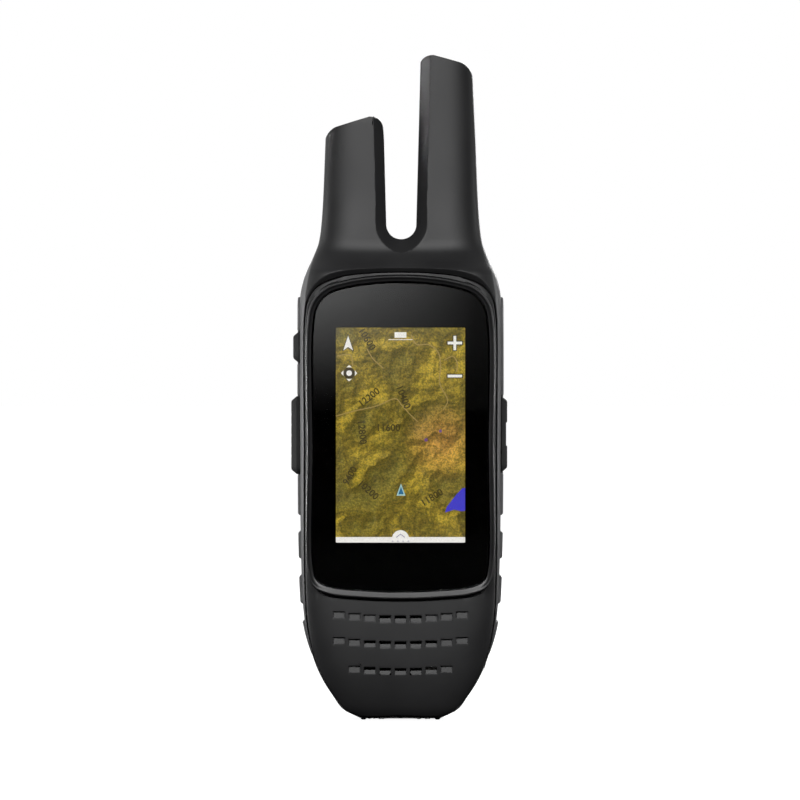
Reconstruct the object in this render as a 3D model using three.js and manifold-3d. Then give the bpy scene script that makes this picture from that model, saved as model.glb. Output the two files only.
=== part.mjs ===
// Handheld GPS unit with a built-in two-way radio and two fixed antenna towers.
// Millimetres, +Z up. The screen faces -Y and +X is to the right of a person reading it.
// The origin is at the middle of the base, on the plane that the two feet stand on.
import * as THREE from "three";
import { mergeVertices } from "three/addons/utils/BufferGeometryUtils.js";
import Module from "manifold-3d";

const wasm = await Module();
wasm.setup();

// ---------------------------------------------------------------- driving dimensions
const fit = 0.35; // gap left between two pieces that touch
const wall = 2.0;
// Height, half width, front, back and corner power of the rounded housing, from its base to its towers.
const stations = [
  [0.6, 12.8, -9.6, 9.4, 5.6],
  [3, 17.6, -12.0, 10.6, 4.8],
  [7, 20.7, -13.7, 11.5, 4.4],
  [12, 23.9, -14.9, 12.1, 4.3],
  [18, 26.6, -15.7, 12.5, 4.4],
  [28, 29.3, -16.2, 12.8, 4.8],
  [44, 30.6, -16.4, 13.0, 5.0],
  [90, 31.1, -16.4, 13.0, 5.0],
  [124, 31.1, -16.4, 13.0, 5.0],
  [131, 30.9, -16.4, 12.9, 4.9],
  [136, 29.8, -16.4, 12.4, 4.4],
  [137.5, 29.2, -16.35, 12.1, 4.3],
  [138.6, 28.8, -15.9, 11.9, 4.1],
  [139.8, 28.3, -14.5, 11.6, 4.0],
  [141.2, 27.65, -12.8, 11.3, 3.9],
  [142.8, 27.0, -11.4, 10.9, 3.7],
  [144.6, 26.25, -10.4, 10.5, 3.5],
  [147, 25.4, -9.9, 9.9, 3.4],
  [151, 24.7, -9.7, 9.2, 3.3],
  [160, 24.0, -9.3, 8.6, 3.3],
  [180, 23.2, -8.8, 7.8, 3.3],
  [206, 22.0, -8.2, 6.8, 3.3],
];
const baseRings = [0.6, 1.2, 2.2, 4, 7];
const gripRings = [11, 16, 22, 29, 38, 124, 129, 133, 136, 137.5];
const towerRings = [138.6, 139.8, 141.2, 142.8, 144.6, 147, 151, 160, 206];
const housingRings = [...baseRings, ...gripRings, ...towerRings];

const panel = { back: -9.7, ledge: -8.6, proud: 0.9, wall: 1.8 };
const panelEdge = [
  [0, 1.6],
  [14.6, 2.0],
  [18.9, 5.6],
  [23.0, 11.8],
  [26.0, 18.6],
  [28.3, 29],
  [29.1, 44],
  [29.1, 84],
  [29.1, 123.5],
  [28.0, 128.7],
  [25.0, 132.4],
  [18.3, 135.2],
  [9.0, 136.7],
  [0, 137.1],
];
const glass = { front: -18.9, thick: 1.4 };
const glassEdge = [
  [0, 40.2],
  [11.5, 40.6],
  [21.5, 41.7],
  [25.4, 43.6],
  [26.6, 48.0],
  [26.6, 84],
  [26.6, 121],
  [25.3, 127.4],
  [22.0, 131.0],
  [16.8, 132.8],
  [8.6, 134.1],
  [0, 134.5],
];
const bezel = { front: -20.0, width: 2.1 };
const screen = { halfWidth: 20.1, low: 54.8, high: 120.9 };

const speakerSlot = { wide: 3.5, high: 2.0, pitch: 4.7, curl: 0.08, blindDepth: 1.0 };
const speakerRows = [
  { z: 31.6, reach: 4, open: 1 },
  { z: 23.7, reach: 4, open: 2 },
  { z: 15.5, reach: 3, open: 2 },
];
const speaker = { radius: 9.5, thick: 3.4, z: 24.0 };

const cleft = { halfWidth: 4.65, bottom: 148.2, lean: 0.026, top: 215, front: -6.1, back: 7.0 };
const leftTower = { peakX: -9.6, peakZ: 185.9, outerZ: 182.8, cornerRadius: 3.4, tipRadius: 4.2 };
const rightTower = { peakX: 10.2, peakZ: 204.9, outerZ: 202.8, cornerRadius: 4.3, tipRadius: 4.2 };

const cavity = { back: 1.0, inset: 1.5 };
const battery = { bayFloor: 2.6, plateFront: 4.4, shellBack: 16.6, low: 5.4, high: 114 };
const spine = { low: 58, high: 106, neckHalf: 4.6, flangeHalf: 7.0, neckBack: 18.4, back: 20.9 };
const latch = { z: 38, recess: 12.6, recessFloor: 12.9, post: 3.4, head: 4.9, pivotY: 15.1, rod: 1.05 };

const grip = { proud: 0.7, sunk: 0.8, front: -8.6, back: 7.6, low: 20, high: 130.4 };
const gripNotches = [
  { z: 60.6, high: 5.8 },
  { z: 47.1, high: 6.0 },
  { z: 33.0, high: 6.2 },
];
const keyY = -4.6;
const talkKey = { low: 75.7, high: 99.8, deep: 8.0, face: -33.7 };
const powerKey = { low: 110.0, high: 119.7, deep: 7.8, face: -33.1 };
const key = { flange: 1.1, flangeThick: 0.8, innerX: 27.0 };
const portCap = { low: 76.3, high: 99.8, deep: 9.0, face: 32.9, seat: 31.0 };
const boardFront = -3.6;
const board = { halfWidth: 24.6, low: 11, high: 130, thick: 1.2 };
const camera = { z: 129, x: 0, radius: 5.4 };

// ---------------------------------------------------------------- materials
const looks = {
  housing: { color: 0x2b2b2c, roughness: 0.55, metalness: 0 },
  rubber: { color: 0x1b1b1c, roughness: 0.8, metalness: 0 },
  bezel: { color: 0x1c1c1d, roughness: 0.4, metalness: 0 },
  glass: { color: 0x060607, roughness: 0.05, metalness: 0 },
  screen: { color: 0x8a7428, roughness: 0.3, metalness: 0 },
  board: { color: 0x1d4a2c, roughness: 0.5, metalness: 0 },
  steel: { color: 0xa8a9ab, roughness: 0.35, metalness: 1 },
  gold: { color: 0xc9a24a, roughness: 0.3, metalness: 1 },
  ceramic: { color: 0xd8d2c4, roughness: 0.5, metalness: 0 },
  cell: { color: 0x3c5d86, roughness: 0.45, metalness: 0 },
  lens: { color: 0x0b0c10, roughness: 0.03, metalness: 0 },
};
const materials = {};
for (const [name, look] of Object.entries(looks)) {
  materials[name] = new THREE.MeshStandardMaterial({ name, ...look });
}

// ---------------------------------------------------------------- solids
// A geometry as a solid that can be cut and joined.
function solid(geometry) {
  const bare = new THREE.BufferGeometry();
  const loose = geometry.index ? geometry.toNonIndexed() : geometry;
  bare.setAttribute("position", loose.getAttribute("position"));
  const merged = mergeVertices(bare, 1e-4);
  const triVerts = new Uint32Array(merged.index.array);
  return new wasm.Manifold(
    new wasm.Mesh({ numProp: 3, vertProperties: merged.attributes.position.array, triVerts }),
  );
}

const unit = new THREE.Group();

// Adds a solid to the unit as a named mesh.
function piece(name, shape, material) {
  const out = shape.getMesh();
  const geometry = new THREE.BufferGeometry();
  geometry.setAttribute("position", new THREE.BufferAttribute(out.vertProperties, 3));
  geometry.setIndex(new THREE.BufferAttribute(out.triVerts, 1));
  geometry.computeVertexNormals();
  const mesh = new THREE.Mesh(geometry, materials[material]);
  mesh.name = name;
  unit.add(mesh);
}

function box(x0, x1, y0, y1, z0, z1) {
  const geometry = new THREE.BoxGeometry(x1 - x0, y1 - y0, z1 - z0);
  geometry.translate((x0 + x1) / 2, (y0 + y1) / 2, (z0 + z1) / 2);
  return solid(geometry);
}

// A cylinder lying along Y, from y0 to y1.
function rodY(x, z, radius, y0, y1, sides = 24) {
  const geometry = new THREE.CylinderGeometry(radius, radius, y1 - y0, sides);
  geometry.translate(x, (y0 + y1) / 2, z);
  return solid(geometry);
}

function rodX(y, z, radius, x0, x1, sides = 16) {
  const geometry = new THREE.CylinderGeometry(radius, radius, x1 - x0, sides);
  geometry.rotateZ(Math.PI / 2);
  geometry.translate((x0 + x1) / 2, y, z);
  return solid(geometry);
}

function rodZ(x, y, radius, z0, z1, sides = 16) {
  const geometry = new THREE.CylinderGeometry(radius, radius, z1 - z0, sides);
  geometry.rotateX(Math.PI / 2);
  geometry.translate(x, y, (z0 + z1) / 2);
  return solid(geometry);
}

// A flat outline in X and Z, pulled along Y from y0 to y1, with its front and back edges rounded.
function slab(outline, y0, y1, round = 0, steps = 2) {
  const shape = Array.isArray(outline) ? new THREE.Shape(outline) : outline;
  const geometry = new THREE.ExtrudeGeometry(shape, {
    depth: y1 - y0 - 2 * round,
    bevelEnabled: round > 0,
    bevelThickness: round,
    bevelSize: round,
    bevelOffset: -round,
    bevelSegments: steps,
    curveSegments: 6,
  });
  geometry.rotateX(Math.PI / 2);
  geometry.translate(0, y1 - round, 0);
  return solid(geometry);
}

// The same for an outline in Y and Z, pulled along X from x0 to x1.
function sideSlab(outline, x0, x1, round = 0, steps = 2) {
  const geometry = new THREE.ExtrudeGeometry(outline, {
    depth: x1 - x0 - 2 * round,
    bevelEnabled: round > 0,
    bevelThickness: round,
    bevelSize: round,
    bevelOffset: -round,
    bevelSegments: steps,
    curveSegments: 3,
  });
  geometry.applyMatrix4(new THREE.Matrix4().set(0, 0, 1, x0 + round, 1, 0, 0, 0, 0, 1, 0, 0, 0, 0, 0, 1));
  return solid(geometry);
}

function roundedRectangle(x0, x1, z0, z1, radius) {
  const shape = new THREE.Shape();
  shape.moveTo(x0 + radius, z0);
  shape.lineTo(x1 - radius, z0);
  shape.absarc(x1 - radius, z0 + radius, radius, -Math.PI / 2, 0);
  shape.lineTo(x1, z1 - radius);
  shape.absarc(x1 - radius, z1 - radius, radius, 0, Math.PI / 2);
  shape.lineTo(x0 + radius, z1);
  shape.absarc(x0 + radius, z1 - radius, radius, Math.PI / 2, Math.PI);
  shape.lineTo(x0, z0 + radius);
  shape.absarc(x0 + radius, z0 + radius, radius, Math.PI, 1.5 * Math.PI);
  return shape;
}

// A closed outline through the points of its right half, mirrored to the left and moved inwards by inset.
function mirroredOutline(half, samples, inset = 0) {
  const left = half.slice(1, -1).reverse();
  const points = [
    ...half.map(([x, z]) => new THREE.Vector3(x, z, 0)),
    ...left.map(([x, z]) => new THREE.Vector3(-x, z, 0)),
  ];
  const curve = new THREE.CatmullRomCurve3(points, true, "centripetal");
  const outline = [];
  for (let i = 0; i < samples; i++) {
    const at = curve.getPointAt(i / samples);
    const along = curve.getTangentAt(i / samples);
    outline.push(new THREE.Vector2(at.x - along.y * inset, at.y + along.x * inset));
  }
  return outline;
}

// ---------------------------------------------------------------- housing shape
const stationHeights = stations.map((row) => row[0]);
const stationValues = stations.flatMap((row) => row.slice(1));
const stationCurve = new THREE.CubicInterpolant(stationHeights, stationValues, 4);

// The rounded body of the housing as one solid, grown outwards by grow.
function hull(grow, rings, around) {
  const geometry = new THREE.CylinderGeometry(1, 1, 1, around, rings.length - 1);
  const place = geometry.attributes.position;
  for (let i = 0; i < place.count; i++) {
    const radius = Math.hypot(place.getX(i), place.getZ(i));
    const ring = Math.round((place.getY(i) + 0.5) * (rings.length - 1));
    const [half, front, back, power] = stationCurve.evaluate(rings[ring]);
    const cos = radius > 0 ? place.getX(i) / radius : 0;
    const sin = radius > 0 ? -place.getZ(i) / radius : 0;
    const across = Math.sign(cos) * Math.abs(cos) ** (2 / power);
    const deep = Math.sign(sin) * Math.abs(sin) ** (2 / power);
    const x = radius * across * (half + grow);
    const y = (front + back) / 2 + radius * deep * ((back - front) / 2 + grow);
    place.setXYZ(i, x, y, rings[ring]);
  }
  return solid(geometry);
}

// The open space between the two towers, widened by grow.
function cleftOutline(grow) {
  const half = cleft.halfWidth + grow;
  const centre = cleft.bottom + cleft.halfWidth;
  const spread = (cleft.top - centre) * cleft.lean;
  const shape = new THREE.Shape();
  shape.absarc(0, centre, half, Math.PI, 2 * Math.PI);
  shape.lineTo(half + spread, cleft.top);
  shape.lineTo(-half - spread, cleft.top);
  return shape;
}

// What is cut away above a tower: side is 1 on the right and -1 on the left.
function towerTopCut(tower, side) {
  const inner = side * 0.2;
  const outer = side * 40;
  const innerEdge = side * (cleft.halfWidth + (tower.peakZ - cleft.bottom) * cleft.lean + 0.35);
  const outerEdge = side * 22.6;
  const peak = new THREE.Vector2(Math.abs(tower.peakX) * side, tower.peakZ);
  const shape = new THREE.Shape();
  shape.moveTo(inner, tower.peakZ - tower.tipRadius);
  shape.lineTo(innerEdge, tower.peakZ - tower.tipRadius);
  shape.quadraticCurveTo(innerEdge, tower.peakZ, peak.x, peak.y);
  shape.lineTo(outerEdge - side * tower.cornerRadius * 0.9, tower.outerZ);
  shape.quadraticCurveTo(outerEdge, tower.outerZ - 1.2, outerEdge + side * 0.2, tower.outerZ - tower.cornerRadius - 1);
  shape.lineTo(outer, tower.outerZ - tower.cornerRadius - 1);
  shape.lineTo(outer, 230);
  shape.lineTo(inner, 230);
  return slab(shape, -40, 40);
}

// A closed skin from one outline to another, the last one nearest the front, each with its own depth.
function loft(outlines, depths) {
  const around = outlines[0].length;
  const geometry = new THREE.CylinderGeometry(1, 1, 1, around, outlines.length - 1);
  const place = geometry.attributes.position;
  for (let i = 0; i < place.count; i++) {
    const ring = Math.round((place.getY(i) + 0.5) * (outlines.length - 1));
    const turn = Math.atan2(place.getX(i), place.getZ(i)) / (2 * Math.PI);
    const onRim = Math.hypot(place.getX(i), place.getZ(i)) > 0.5;
    const middle = new THREE.Vector2(0, (cleft.bottom + cleft.top) / 2);
    const at = onRim ? outlines[ring][(Math.round(turn * around) + around) % around] : middle;
    place.setXYZ(i, at.x, depths[ring], at.y);
  }
  return solid(geometry);
}

// What bevels the front (side -1) or back edge of the cleft at 45 degrees: a funnel that opens outwards.
function cleftFlare(side) {
  const start = side < 0 ? cleft.front : cleft.back;
  const grown = side < 0 ? [-0.8, 12] : [12, -0.8];
  const outlines = grown.map((grow) => cleftOutline(grow).getPoints(10));
  return loft(outlines, grown.map((grow) => start + side * grow));
}

// ---------------------------------------------------------------- housing
const panelOutline = (inset, samples = 60) => mirroredOutline(panelEdge, samples, inset);
const gripSide = (grow) =>
  roundedRectangle(grip.front - grow, grip.back + grow, grip.low - grow, grip.high + grow, 5);
const gripBlock = (side, grow) => sideSlab(gripSide(grow), side > 0 ? 20 : -40, side > 0 ? 40 : -20);
const batteryEdge = [
  [0, battery.low],
  [13.5, battery.low + 0.3],
  [18.6, battery.low + 3.4],
  [23.6, 16],
  [26.2, 24],
  [27.2, 36],
  [27.2, 70],
  [27.2, battery.high - 7],
  [25.6, battery.high - 2],
  [20.5, battery.high],
  [0, battery.high],
];
const batteryOutline = (inset, samples = 44) => mirroredOutline(batteryEdge, samples, inset);
const screws = [
  [-22.0, 124],
  [22.0, 124],
  [-22.6, 70],
  [22.6, 70],
  [-17.5, 16.5],
  [17.5, 16.5],
];

function keyWindow(spec, grow) {
  const half = spec.deep / 2;
  return roundedRectangle(keyY - half - grow, keyY + half + grow, spec.low - grow, spec.high + grow, 2.4);
}

function makeHousing() {
  let shape = hull(0, housingRings, 40);
  shape = shape.subtract(slab(cleftOutline(0), -40, 40));
  shape = shape.subtract(cleftFlare(-1)).subtract(cleftFlare(1));
  shape = shape.subtract(towerTopCut(leftTower, -1)).subtract(towerTopCut(rightTower, 1));
  shape = shape.subtract(slab(panelOutline(-fit), -40, panel.ledge));
  shape = shape.subtract(slab(panelOutline(cavity.inset), -12, cavity.back));
  shape = shape.subtract(box(-20, 20, -12, 9.4, 119.5, 133));
  shape = shape.subtract(slab(batteryOutline(-fit), battery.bayFloor, 40));
  for (const side of [-1, 1]) {
    const recess = gripBlock(side, fit).subtract(hull(-grip.sunk, gripRings, 40));
    shape = shape.subtract(recess);
  }
  // Bores that hold the two antennas run down into the electronics space.
  shape = shape.subtract(rodZ(-14.6, -0.4, 5.6, 125, 177, 20));
  shape = shape.subtract(rodZ(14.2, -0.6, 4.4, 125, 196, 20));
  shape = shape.subtract(sideSlab(keyWindow(talkKey, fit), -40, -25));
  shape = shape.subtract(sideSlab(keyWindow(powerKey, fit), -40, -25));
  const ports = roundedRectangle(keyY - 3.4, keyY + 3.4, portCap.low + 2.4, portCap.high - 1.6, 2);
  shape = shape.subtract(sideSlab(ports, 25, 40));
  shape = shape.subtract(rodY(camera.x, camera.z, camera.radius + fit, 5, 20));
  shape = shape.subtract(rodY(12, camera.z, 3.1, 5, 20, 20));
  for (const [x, z] of screws) {
    shape = shape.subtract(rodY(x, z, 1.2, -12, 12, 10)).subtract(rodY(x, z, 2.4, z > 116 ? 10.4 : 2.4, 20, 12));
  }
  // The battery terminals reach through the bay floor.
  return shape.subtract(box(-8, 8, -1, 5, 100, 106));
}

function makePanel() {
  const rings = [0.6, 1.6, 2.2, 4, 7, ...gripRings];
  let shape = hull(panel.proud, rings, 40).intersect(slab(panelOutline(0), -40, panel.back));
  shape = shape.subtract(slab(mirroredOutline(glassEdge, 48, -bezel.width - fit), -40, glass.front + glass.thick + 0.5));
  shape = shape.subtract(hull(-panel.wall, [4, 12, 22, 29, 38.6], 28).intersect(slab(panelOutline(panel.wall), -40, 0)));
  const window = roundedRectangle(-24.4, 24.4, 43.2, 130.4, 3);
  shape = shape.subtract(slab(window, -40, 0));
  for (const row of speakerRows) {
    for (let i = -row.reach; i <= row.reach; i++) {
      const x = i * speakerSlot.pitch;
      const z = row.z + speakerSlot.curl * i * i;
      const halfWide = speakerSlot.wide / 2;
      const halfHigh = speakerSlot.high / 2;
      const open = Math.abs(i) <= row.open;
      const surface = stationCurve.evaluate(z)[1] - panel.proud;
      const floor = open ? -9 : surface + speakerSlot.blindDepth;
      shape = shape.subtract(box(x - halfWide, x + halfWide, -40, floor, z - halfHigh, z + halfHigh));
    }
  }
  return shape;
}

piece("main_housing", makeHousing(), "housing");
piece("front_panel", makePanel(), "housing");
const caseSeal = slab(panelOutline(0.35, 48), panel.back + 0.3, panel.ledge - 0.3);
piece("case_seal", caseSeal.subtract(slab(panelOutline(1.3, 48), -20, 0)), "rubber");

// ---------------------------------------------------------------- display stack
const bezelRing = slab(mirroredOutline(glassEdge, 48, -bezel.width), bezel.front, glass.front + glass.thick + 0.15, 0.9, 2);
const glassHole = slab(mirroredOutline(glassEdge, 48, -fit), -40, 0);
piece("screen_bezel", bezelRing.subtract(glassHole), "bezel");
piece("cover_glass", slab(mirroredOutline(glassEdge, 48, 0), glass.front, glass.front + glass.thick, 0.25, 1), "glass");
const lcdFront = glass.front + glass.thick + fit;
const lcd = slab(
  roundedRectangle(-screen.halfWidth - 2.2, screen.halfWidth + 2.2, screen.low - 4, screen.high + 2.2, 0.8),
  lcdFront,
  lcdFront + 2.2,
);
piece("display_panel", lcd, "screen");
const frameFront = lcdFront + 2.2 + fit;
const tray = box(-23.6, 23.6, frameFront, frameFront + 1.2, 45, 129);
const trayHole = box(-12, 12, -40, 0, 70, 110);
piece("display_frame", tray.subtract(trayHole), "steel");

// ---------------------------------------------------------------- speaker and microphone
const coneFront = stationCurve.evaluate(speaker.z - speaker.radius)[1] + panel.wall + fit;
piece("speaker_mesh", rodY(0, speaker.z, speaker.radius, coneFront, coneFront + 0.5, 28), "rubber");
const basket = rodY(0, speaker.z, speaker.radius - 0.4, coneFront + 0.9, coneFront + 0.9 + speaker.thick, 28);
piece("speaker_driver", basket.add(rodY(0, speaker.z, 5.2, coneFront + 4, coneFront + 6.2, 20)), "steel");
// The microphone listens through the last open slot of the lowest row.
piece("microphone", rodY(2 * speakerSlot.pitch, 15.8, 2.0, -9.3, -6.9, 16), "steel");

// ---------------------------------------------------------------- electronics
function makeBoard() {
  const outline = mirroredOutline(
    [
      [0, board.low],
      [12, board.low],
      [17, 14.5],
      [board.halfWidth - 1, 26],
      [board.halfWidth, 30],
      [board.halfWidth, 80],
      [board.halfWidth, board.high - 4],
      [board.halfWidth - 3, board.high],
      [0, board.high],
    ],
    32,
  );
  let shape = slab(outline, boardFront, boardFront + board.thick);
  for (const [x, z] of screws) {
    shape = shape.subtract(rodY(x, z, 2.6, -10, 0, 10));
  }
  return shape;
}
piece("main_board", makeBoard(), "board");
const boardBack = boardFront + board.thick;
piece("shield_can", box(-15, 15, boardFront - fit - 2.6, boardFront - fit, 50, 84), "steel");

// The position antenna: a ceramic core with four raised, winding strips, on its stem.
function makeHelixCore() {
  let core = rodZ(-14.6, -0.4, 4.2, 146, 172, 24);
  const stem = rodZ(-14.6, -0.4, 1.5, 131.2, 147, 12);
  core = core.add(stem);
  return core.add(rodZ(-14.6, -0.4, 4.8, 146, 148.4, 24));
}
piece("position_antenna", makeHelixCore(), "ceramic");
const whip = rodZ(14.2, -0.6, 1.6, 131.2, 193, 12).add(rodZ(14.2, -0.6, 3.7, 146, 150, 20));
piece("radio_antenna", whip.add(rodZ(14.2, -0.6, 2.8, 149.5, 188, 20)), "gold");

function sideSwitch(z) {
  const y1 = boardFront - fit;
  const body = box(-24.7, -21.4, y1 - 3.2, y1, z - 3, z + 3);
  return body.add(rodX(y1 - 1.4, z, 0.9, -25.3, -24.5, 12));
}
piece("talk_switch", sideSwitch((talkKey.low + talkKey.high) / 2), "steel");
piece("power_switch", sideSwitch((powerKey.low + powerKey.high) / 2), "steel");

const usb = box(20, 29.4, boardFront - fit - 3.4, boardFront - fit, 89, 96.4);
piece("usb_socket", usb.subtract(box(24, 31, boardFront - fit - 2.8, boardFront - fit - 0.6, 89.8, 95.6)), "steel");
const jackY = boardFront - fit - 2.2;
const jackZ = 82.9;
const jack = box(19, 27.2, jackY - 2.8, boardFront - fit, jackZ - 3.3, jackZ + 3.3);
const jackHole = rodX(jackY, jackZ, 1.3, 23, 31);
piece("headset_socket", jack.subtract(jackHole), "rubber");

let terminals = box(-7.5, 7.5, boardBack + fit, 2.2, 100.5, 105.5);
for (const x of [-5.4, -1.8, 1.8, 5.4]) {
  terminals = terminals.add(box(x - 0.6, x + 0.6, 2, 3.6, 101.6, 104.4));
}
piece("battery_terminals", terminals, "gold");
piece("card_slot", box(-24, -9, boardBack + fit, boardBack + fit + 1.6, 88, 103), "steel");

// ---------------------------------------------------------------- side grips
for (const [name, side] of [["left_grip", -1], ["right_grip", 1]]) {
  let pad = gripBlock(side, 0).intersect(hull(grip.proud, gripRings, 40));
  pad = pad.subtract(hull(-grip.sunk + fit, gripRings, 40));
  for (const notch of gripNotches) {
    const cut = box(side > 0 ? 20 : -40, side > 0 ? 40 : -20, -20, 20, notch.z - notch.high / 2, notch.z + notch.high / 2);
    pad = pad.subtract(cut.subtract(hull(-0.05, gripRings, 40)));
  }
  if (side < 0) {
    pad = pad.subtract(sideSlab(keyWindow(talkKey, fit), -40, -20));
    pad = pad.subtract(sideSlab(keyWindow(powerKey, fit), -40, -20));
  } else {
    const half = portCap.deep / 2 + fit;
    const seat = roundedRectangle(keyY - half, keyY + half, portCap.low - fit, portCap.high + fit, 2.4);
    pad = pad.subtract(sideSlab(seat, 20, 40));
  }
  piece(name, pad, "rubber");
}

// ---------------------------------------------------------------- keys
function makeKey(spec) {
  const cap = sideSlab(keyWindow(spec, 0), spec.face, -key.innerX, 0.9, 2);
  const flange = sideSlab(keyWindow(spec, key.flange), -key.innerX - 0.3, -key.innerX + key.flangeThick);
  return cap.add(flange);
}
piece("talk_key", makeKey(talkKey), "rubber");
piece("power_key", makeKey(powerKey), "rubber");

// ---------------------------------------------------------------- port cap
function makePortCap() {
  const half = portCap.deep / 2;
  const cover = roundedRectangle(keyY - half, keyY + half, portCap.low, portCap.high, 2.2);
  let shape = sideSlab(cover, portCap.seat + 0.05, portCap.face, 0.45, 2);
  shape = shape.subtract(box(portCap.face - 0.35, 40, -20, 20, 84.4, 91.8));
  shape = shape.add(box(29.9, portCap.seat + 0.5, keyY - 2.6, keyY + 1.0, 90.2, 95.4));
  return shape.add(rodX(jackY, jackZ, 1.1, 29.4, portCap.seat + 0.5));
}
piece("port_cap", makePortCap(), "rubber");

// ---------------------------------------------------------------- camera
const cameraFace = stationCurve.evaluate(camera.z)[2];
piece("camera_module", box(-4, 4, boardBack + 1.2, cameraFace - 4.4, camera.z - 4, camera.z + 3.4), "rubber");
const trim = rodY(camera.x, camera.z, camera.radius, cameraFace - 3.9, cameraFace + 0.6, 28);
piece("camera_trim", trim.subtract(rodY(camera.x, camera.z, 3.9, 0, 30, 24)), "bezel");
piece("camera_window", rodY(camera.x, camera.z, 3.6, cameraFace - 1.2, cameraFace - 0.2, 24), "lens");
piece("flash_window", rodY(12, camera.z, 2.75, cameraFace - 3, cameraFace - 0.1, 20), "lens");

// ---------------------------------------------------------------- battery pack
function makeBatteryShell() {
  let shape = slab(batteryOutline(0), battery.bayFloor + 1.6, battery.shellBack, 1.8, 3);
  const inside = slab(batteryOutline(wall), 0, battery.shellBack - wall);
  shape = shape.subtract(inside.subtract(rodY(0, latch.z, latch.recess + 1.6, 0, 30, 32)));
  shape = shape.subtract(box(-40, 40, 0, 30, battery.low - 2, battery.low - 1));
  shape = shape.subtract(rodY(0, latch.z, latch.recess, latch.recessFloor, 30, 36));
  shape = shape.subtract(rodY(0, latch.z, latch.recess - 1.6, 0, latch.recessFloor - wall, 28));
  return shape.subtract(rodY(0, latch.z, latch.post + fit, 0, 30, 24));
}
piece("battery_shell", makeBatteryShell(), "housing");
const cellFront = battery.plateFront + 1.2;
for (const [name, side] of [["battery_cell_left", -1], ["battery_cell_right", 1]]) {
  const x0 = side > 0 ? 0.6 : -24.4;
  piece(name, slab(roundedRectangle(x0, x0 + 23.8, 54.5, 97, 2), cellFront, battery.shellBack - wall - 0.5), "cell");
}
const plate = slab(batteryOutline(wall + fit, 32), battery.plateFront, battery.plateFront + 0.9);
const plateHole = rodY(0, latch.z, latch.recess + 1.9, 0, 30, 28);
piece("battery_plate", plate.subtract(plateHole).subtract(box(-8, 8, 0, 30, 100, 106)), "bezel");
piece("battery_contacts", box(-7, 7, battery.plateFront, battery.plateFront + 1.2, 100.6, 105.4), "gold");
const sealBand = slab(batteryOutline(0.5, 40), battery.bayFloor + fit, battery.bayFloor + 1.25);
piece("battery_seal", sealBand.subtract(slab(batteryOutline(1.9, 40), 0, 20)), "rubber");

// The rail that a belt clip or a handlebar mount slides over.
function makeSpine() {
  const neck = box(-spine.neckHalf, spine.neckHalf, battery.shellBack + 0.3, spine.neckBack + 0.2, spine.low + 1, spine.high - 1);
  const top = roundedRectangle(-spine.flangeHalf, spine.flangeHalf, spine.low, spine.high, 2.5);
  const flange = slab(top, spine.neckBack, spine.back, 0.6, 1);
  return neck.add(flange);
}
piece("spine_rail", makeSpine(), "housing");

// ---------------------------------------------------------------- battery latch
function makeLatchPost() {
  let shape = rodY(0, latch.z, latch.post, battery.bayFloor + 0.4, latch.recessFloor + 0.6, 24);
  shape = shape.add(rodY(0, latch.z, latch.head, latch.recessFloor + fit, latch.recessFloor + 0.9, 24));
  shape = shape.add(box(-1.6, 1.6, latch.recessFloor + 0.5, latch.pivotY + 1.9, latch.z - 2, latch.z + 2));
  shape = shape.subtract(rodX(latch.pivotY, latch.z, latch.rod + fit, -3, 3));
  return shape.add(box(-5.8, 5.8, battery.bayFloor + 0.5, battery.bayFloor + 1.9, latch.z - 1.9, latch.z + 1.9));
}
piece("latch_post", makeLatchPost(), "steel");

// The D shaped pull: a bent rod whose straight side turns in the post.
function makeLatchRing() {
  const reach = 8.6;
  const at = (x, z) => new THREE.Vector3(x, latch.pivotY, latch.z + z);
  const corner = [];
  for (let i = 0; i <= 12; i++) {
    const angle = (Math.PI * i) / 12;
    corner.push(at(reach * Math.cos(angle), -2.4 - 7.4 * Math.sin(angle)));
  }
  const path = new THREE.CatmullRomCurve3([at(reach, 0), ...corner, at(-reach, 0)], false, "centripetal");
  const section = new THREE.Shape();
  section.absarc(0, 0, latch.rod, 0, 2 * Math.PI);
  const bow = new THREE.ExtrudeGeometry(section, { extrudePath: path, steps: 22, curveSegments: 5, bevelEnabled: false });
  return solid(bow).add(rodX(latch.pivotY, latch.z, latch.rod, -reach - latch.rod, reach + latch.rod, 12));
}
piece("latch_ring", makeLatchRing(), "steel");

// ---------------------------------------------------------------- feet and fasteners
for (const [name, side] of [["left_foot", -1], ["right_foot", 1]]) {
  const x = side * 11.4;
  piece(name, box(x - 0.9, x + 0.9, -6.5, 7.0, 0, 0.55), "rubber");
}
screws.forEach(([x, z], i) => {
  const seat = z > 116 ? 10.4 : 2.4;
  const head = rodY(x, z, 2.0, seat + 0.3, seat + 1.7, 12);
  const shank = rodY(x, z, 0.85, boardFront - 4.5, seat + 0.5, 8);
  const cross = box(x - 1.2, x + 1.2, seat + 1.1, seat + 3, z - 0.25, z + 0.25);
  piece(`case_screw_${i + 1}`, head.add(shank).subtract(cross), "steel");
});

export default unit;
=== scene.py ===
import math

import bmesh
import bpy
from mathutils import Matrix, Vector
from mathutils.kdtree import KDTree


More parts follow.
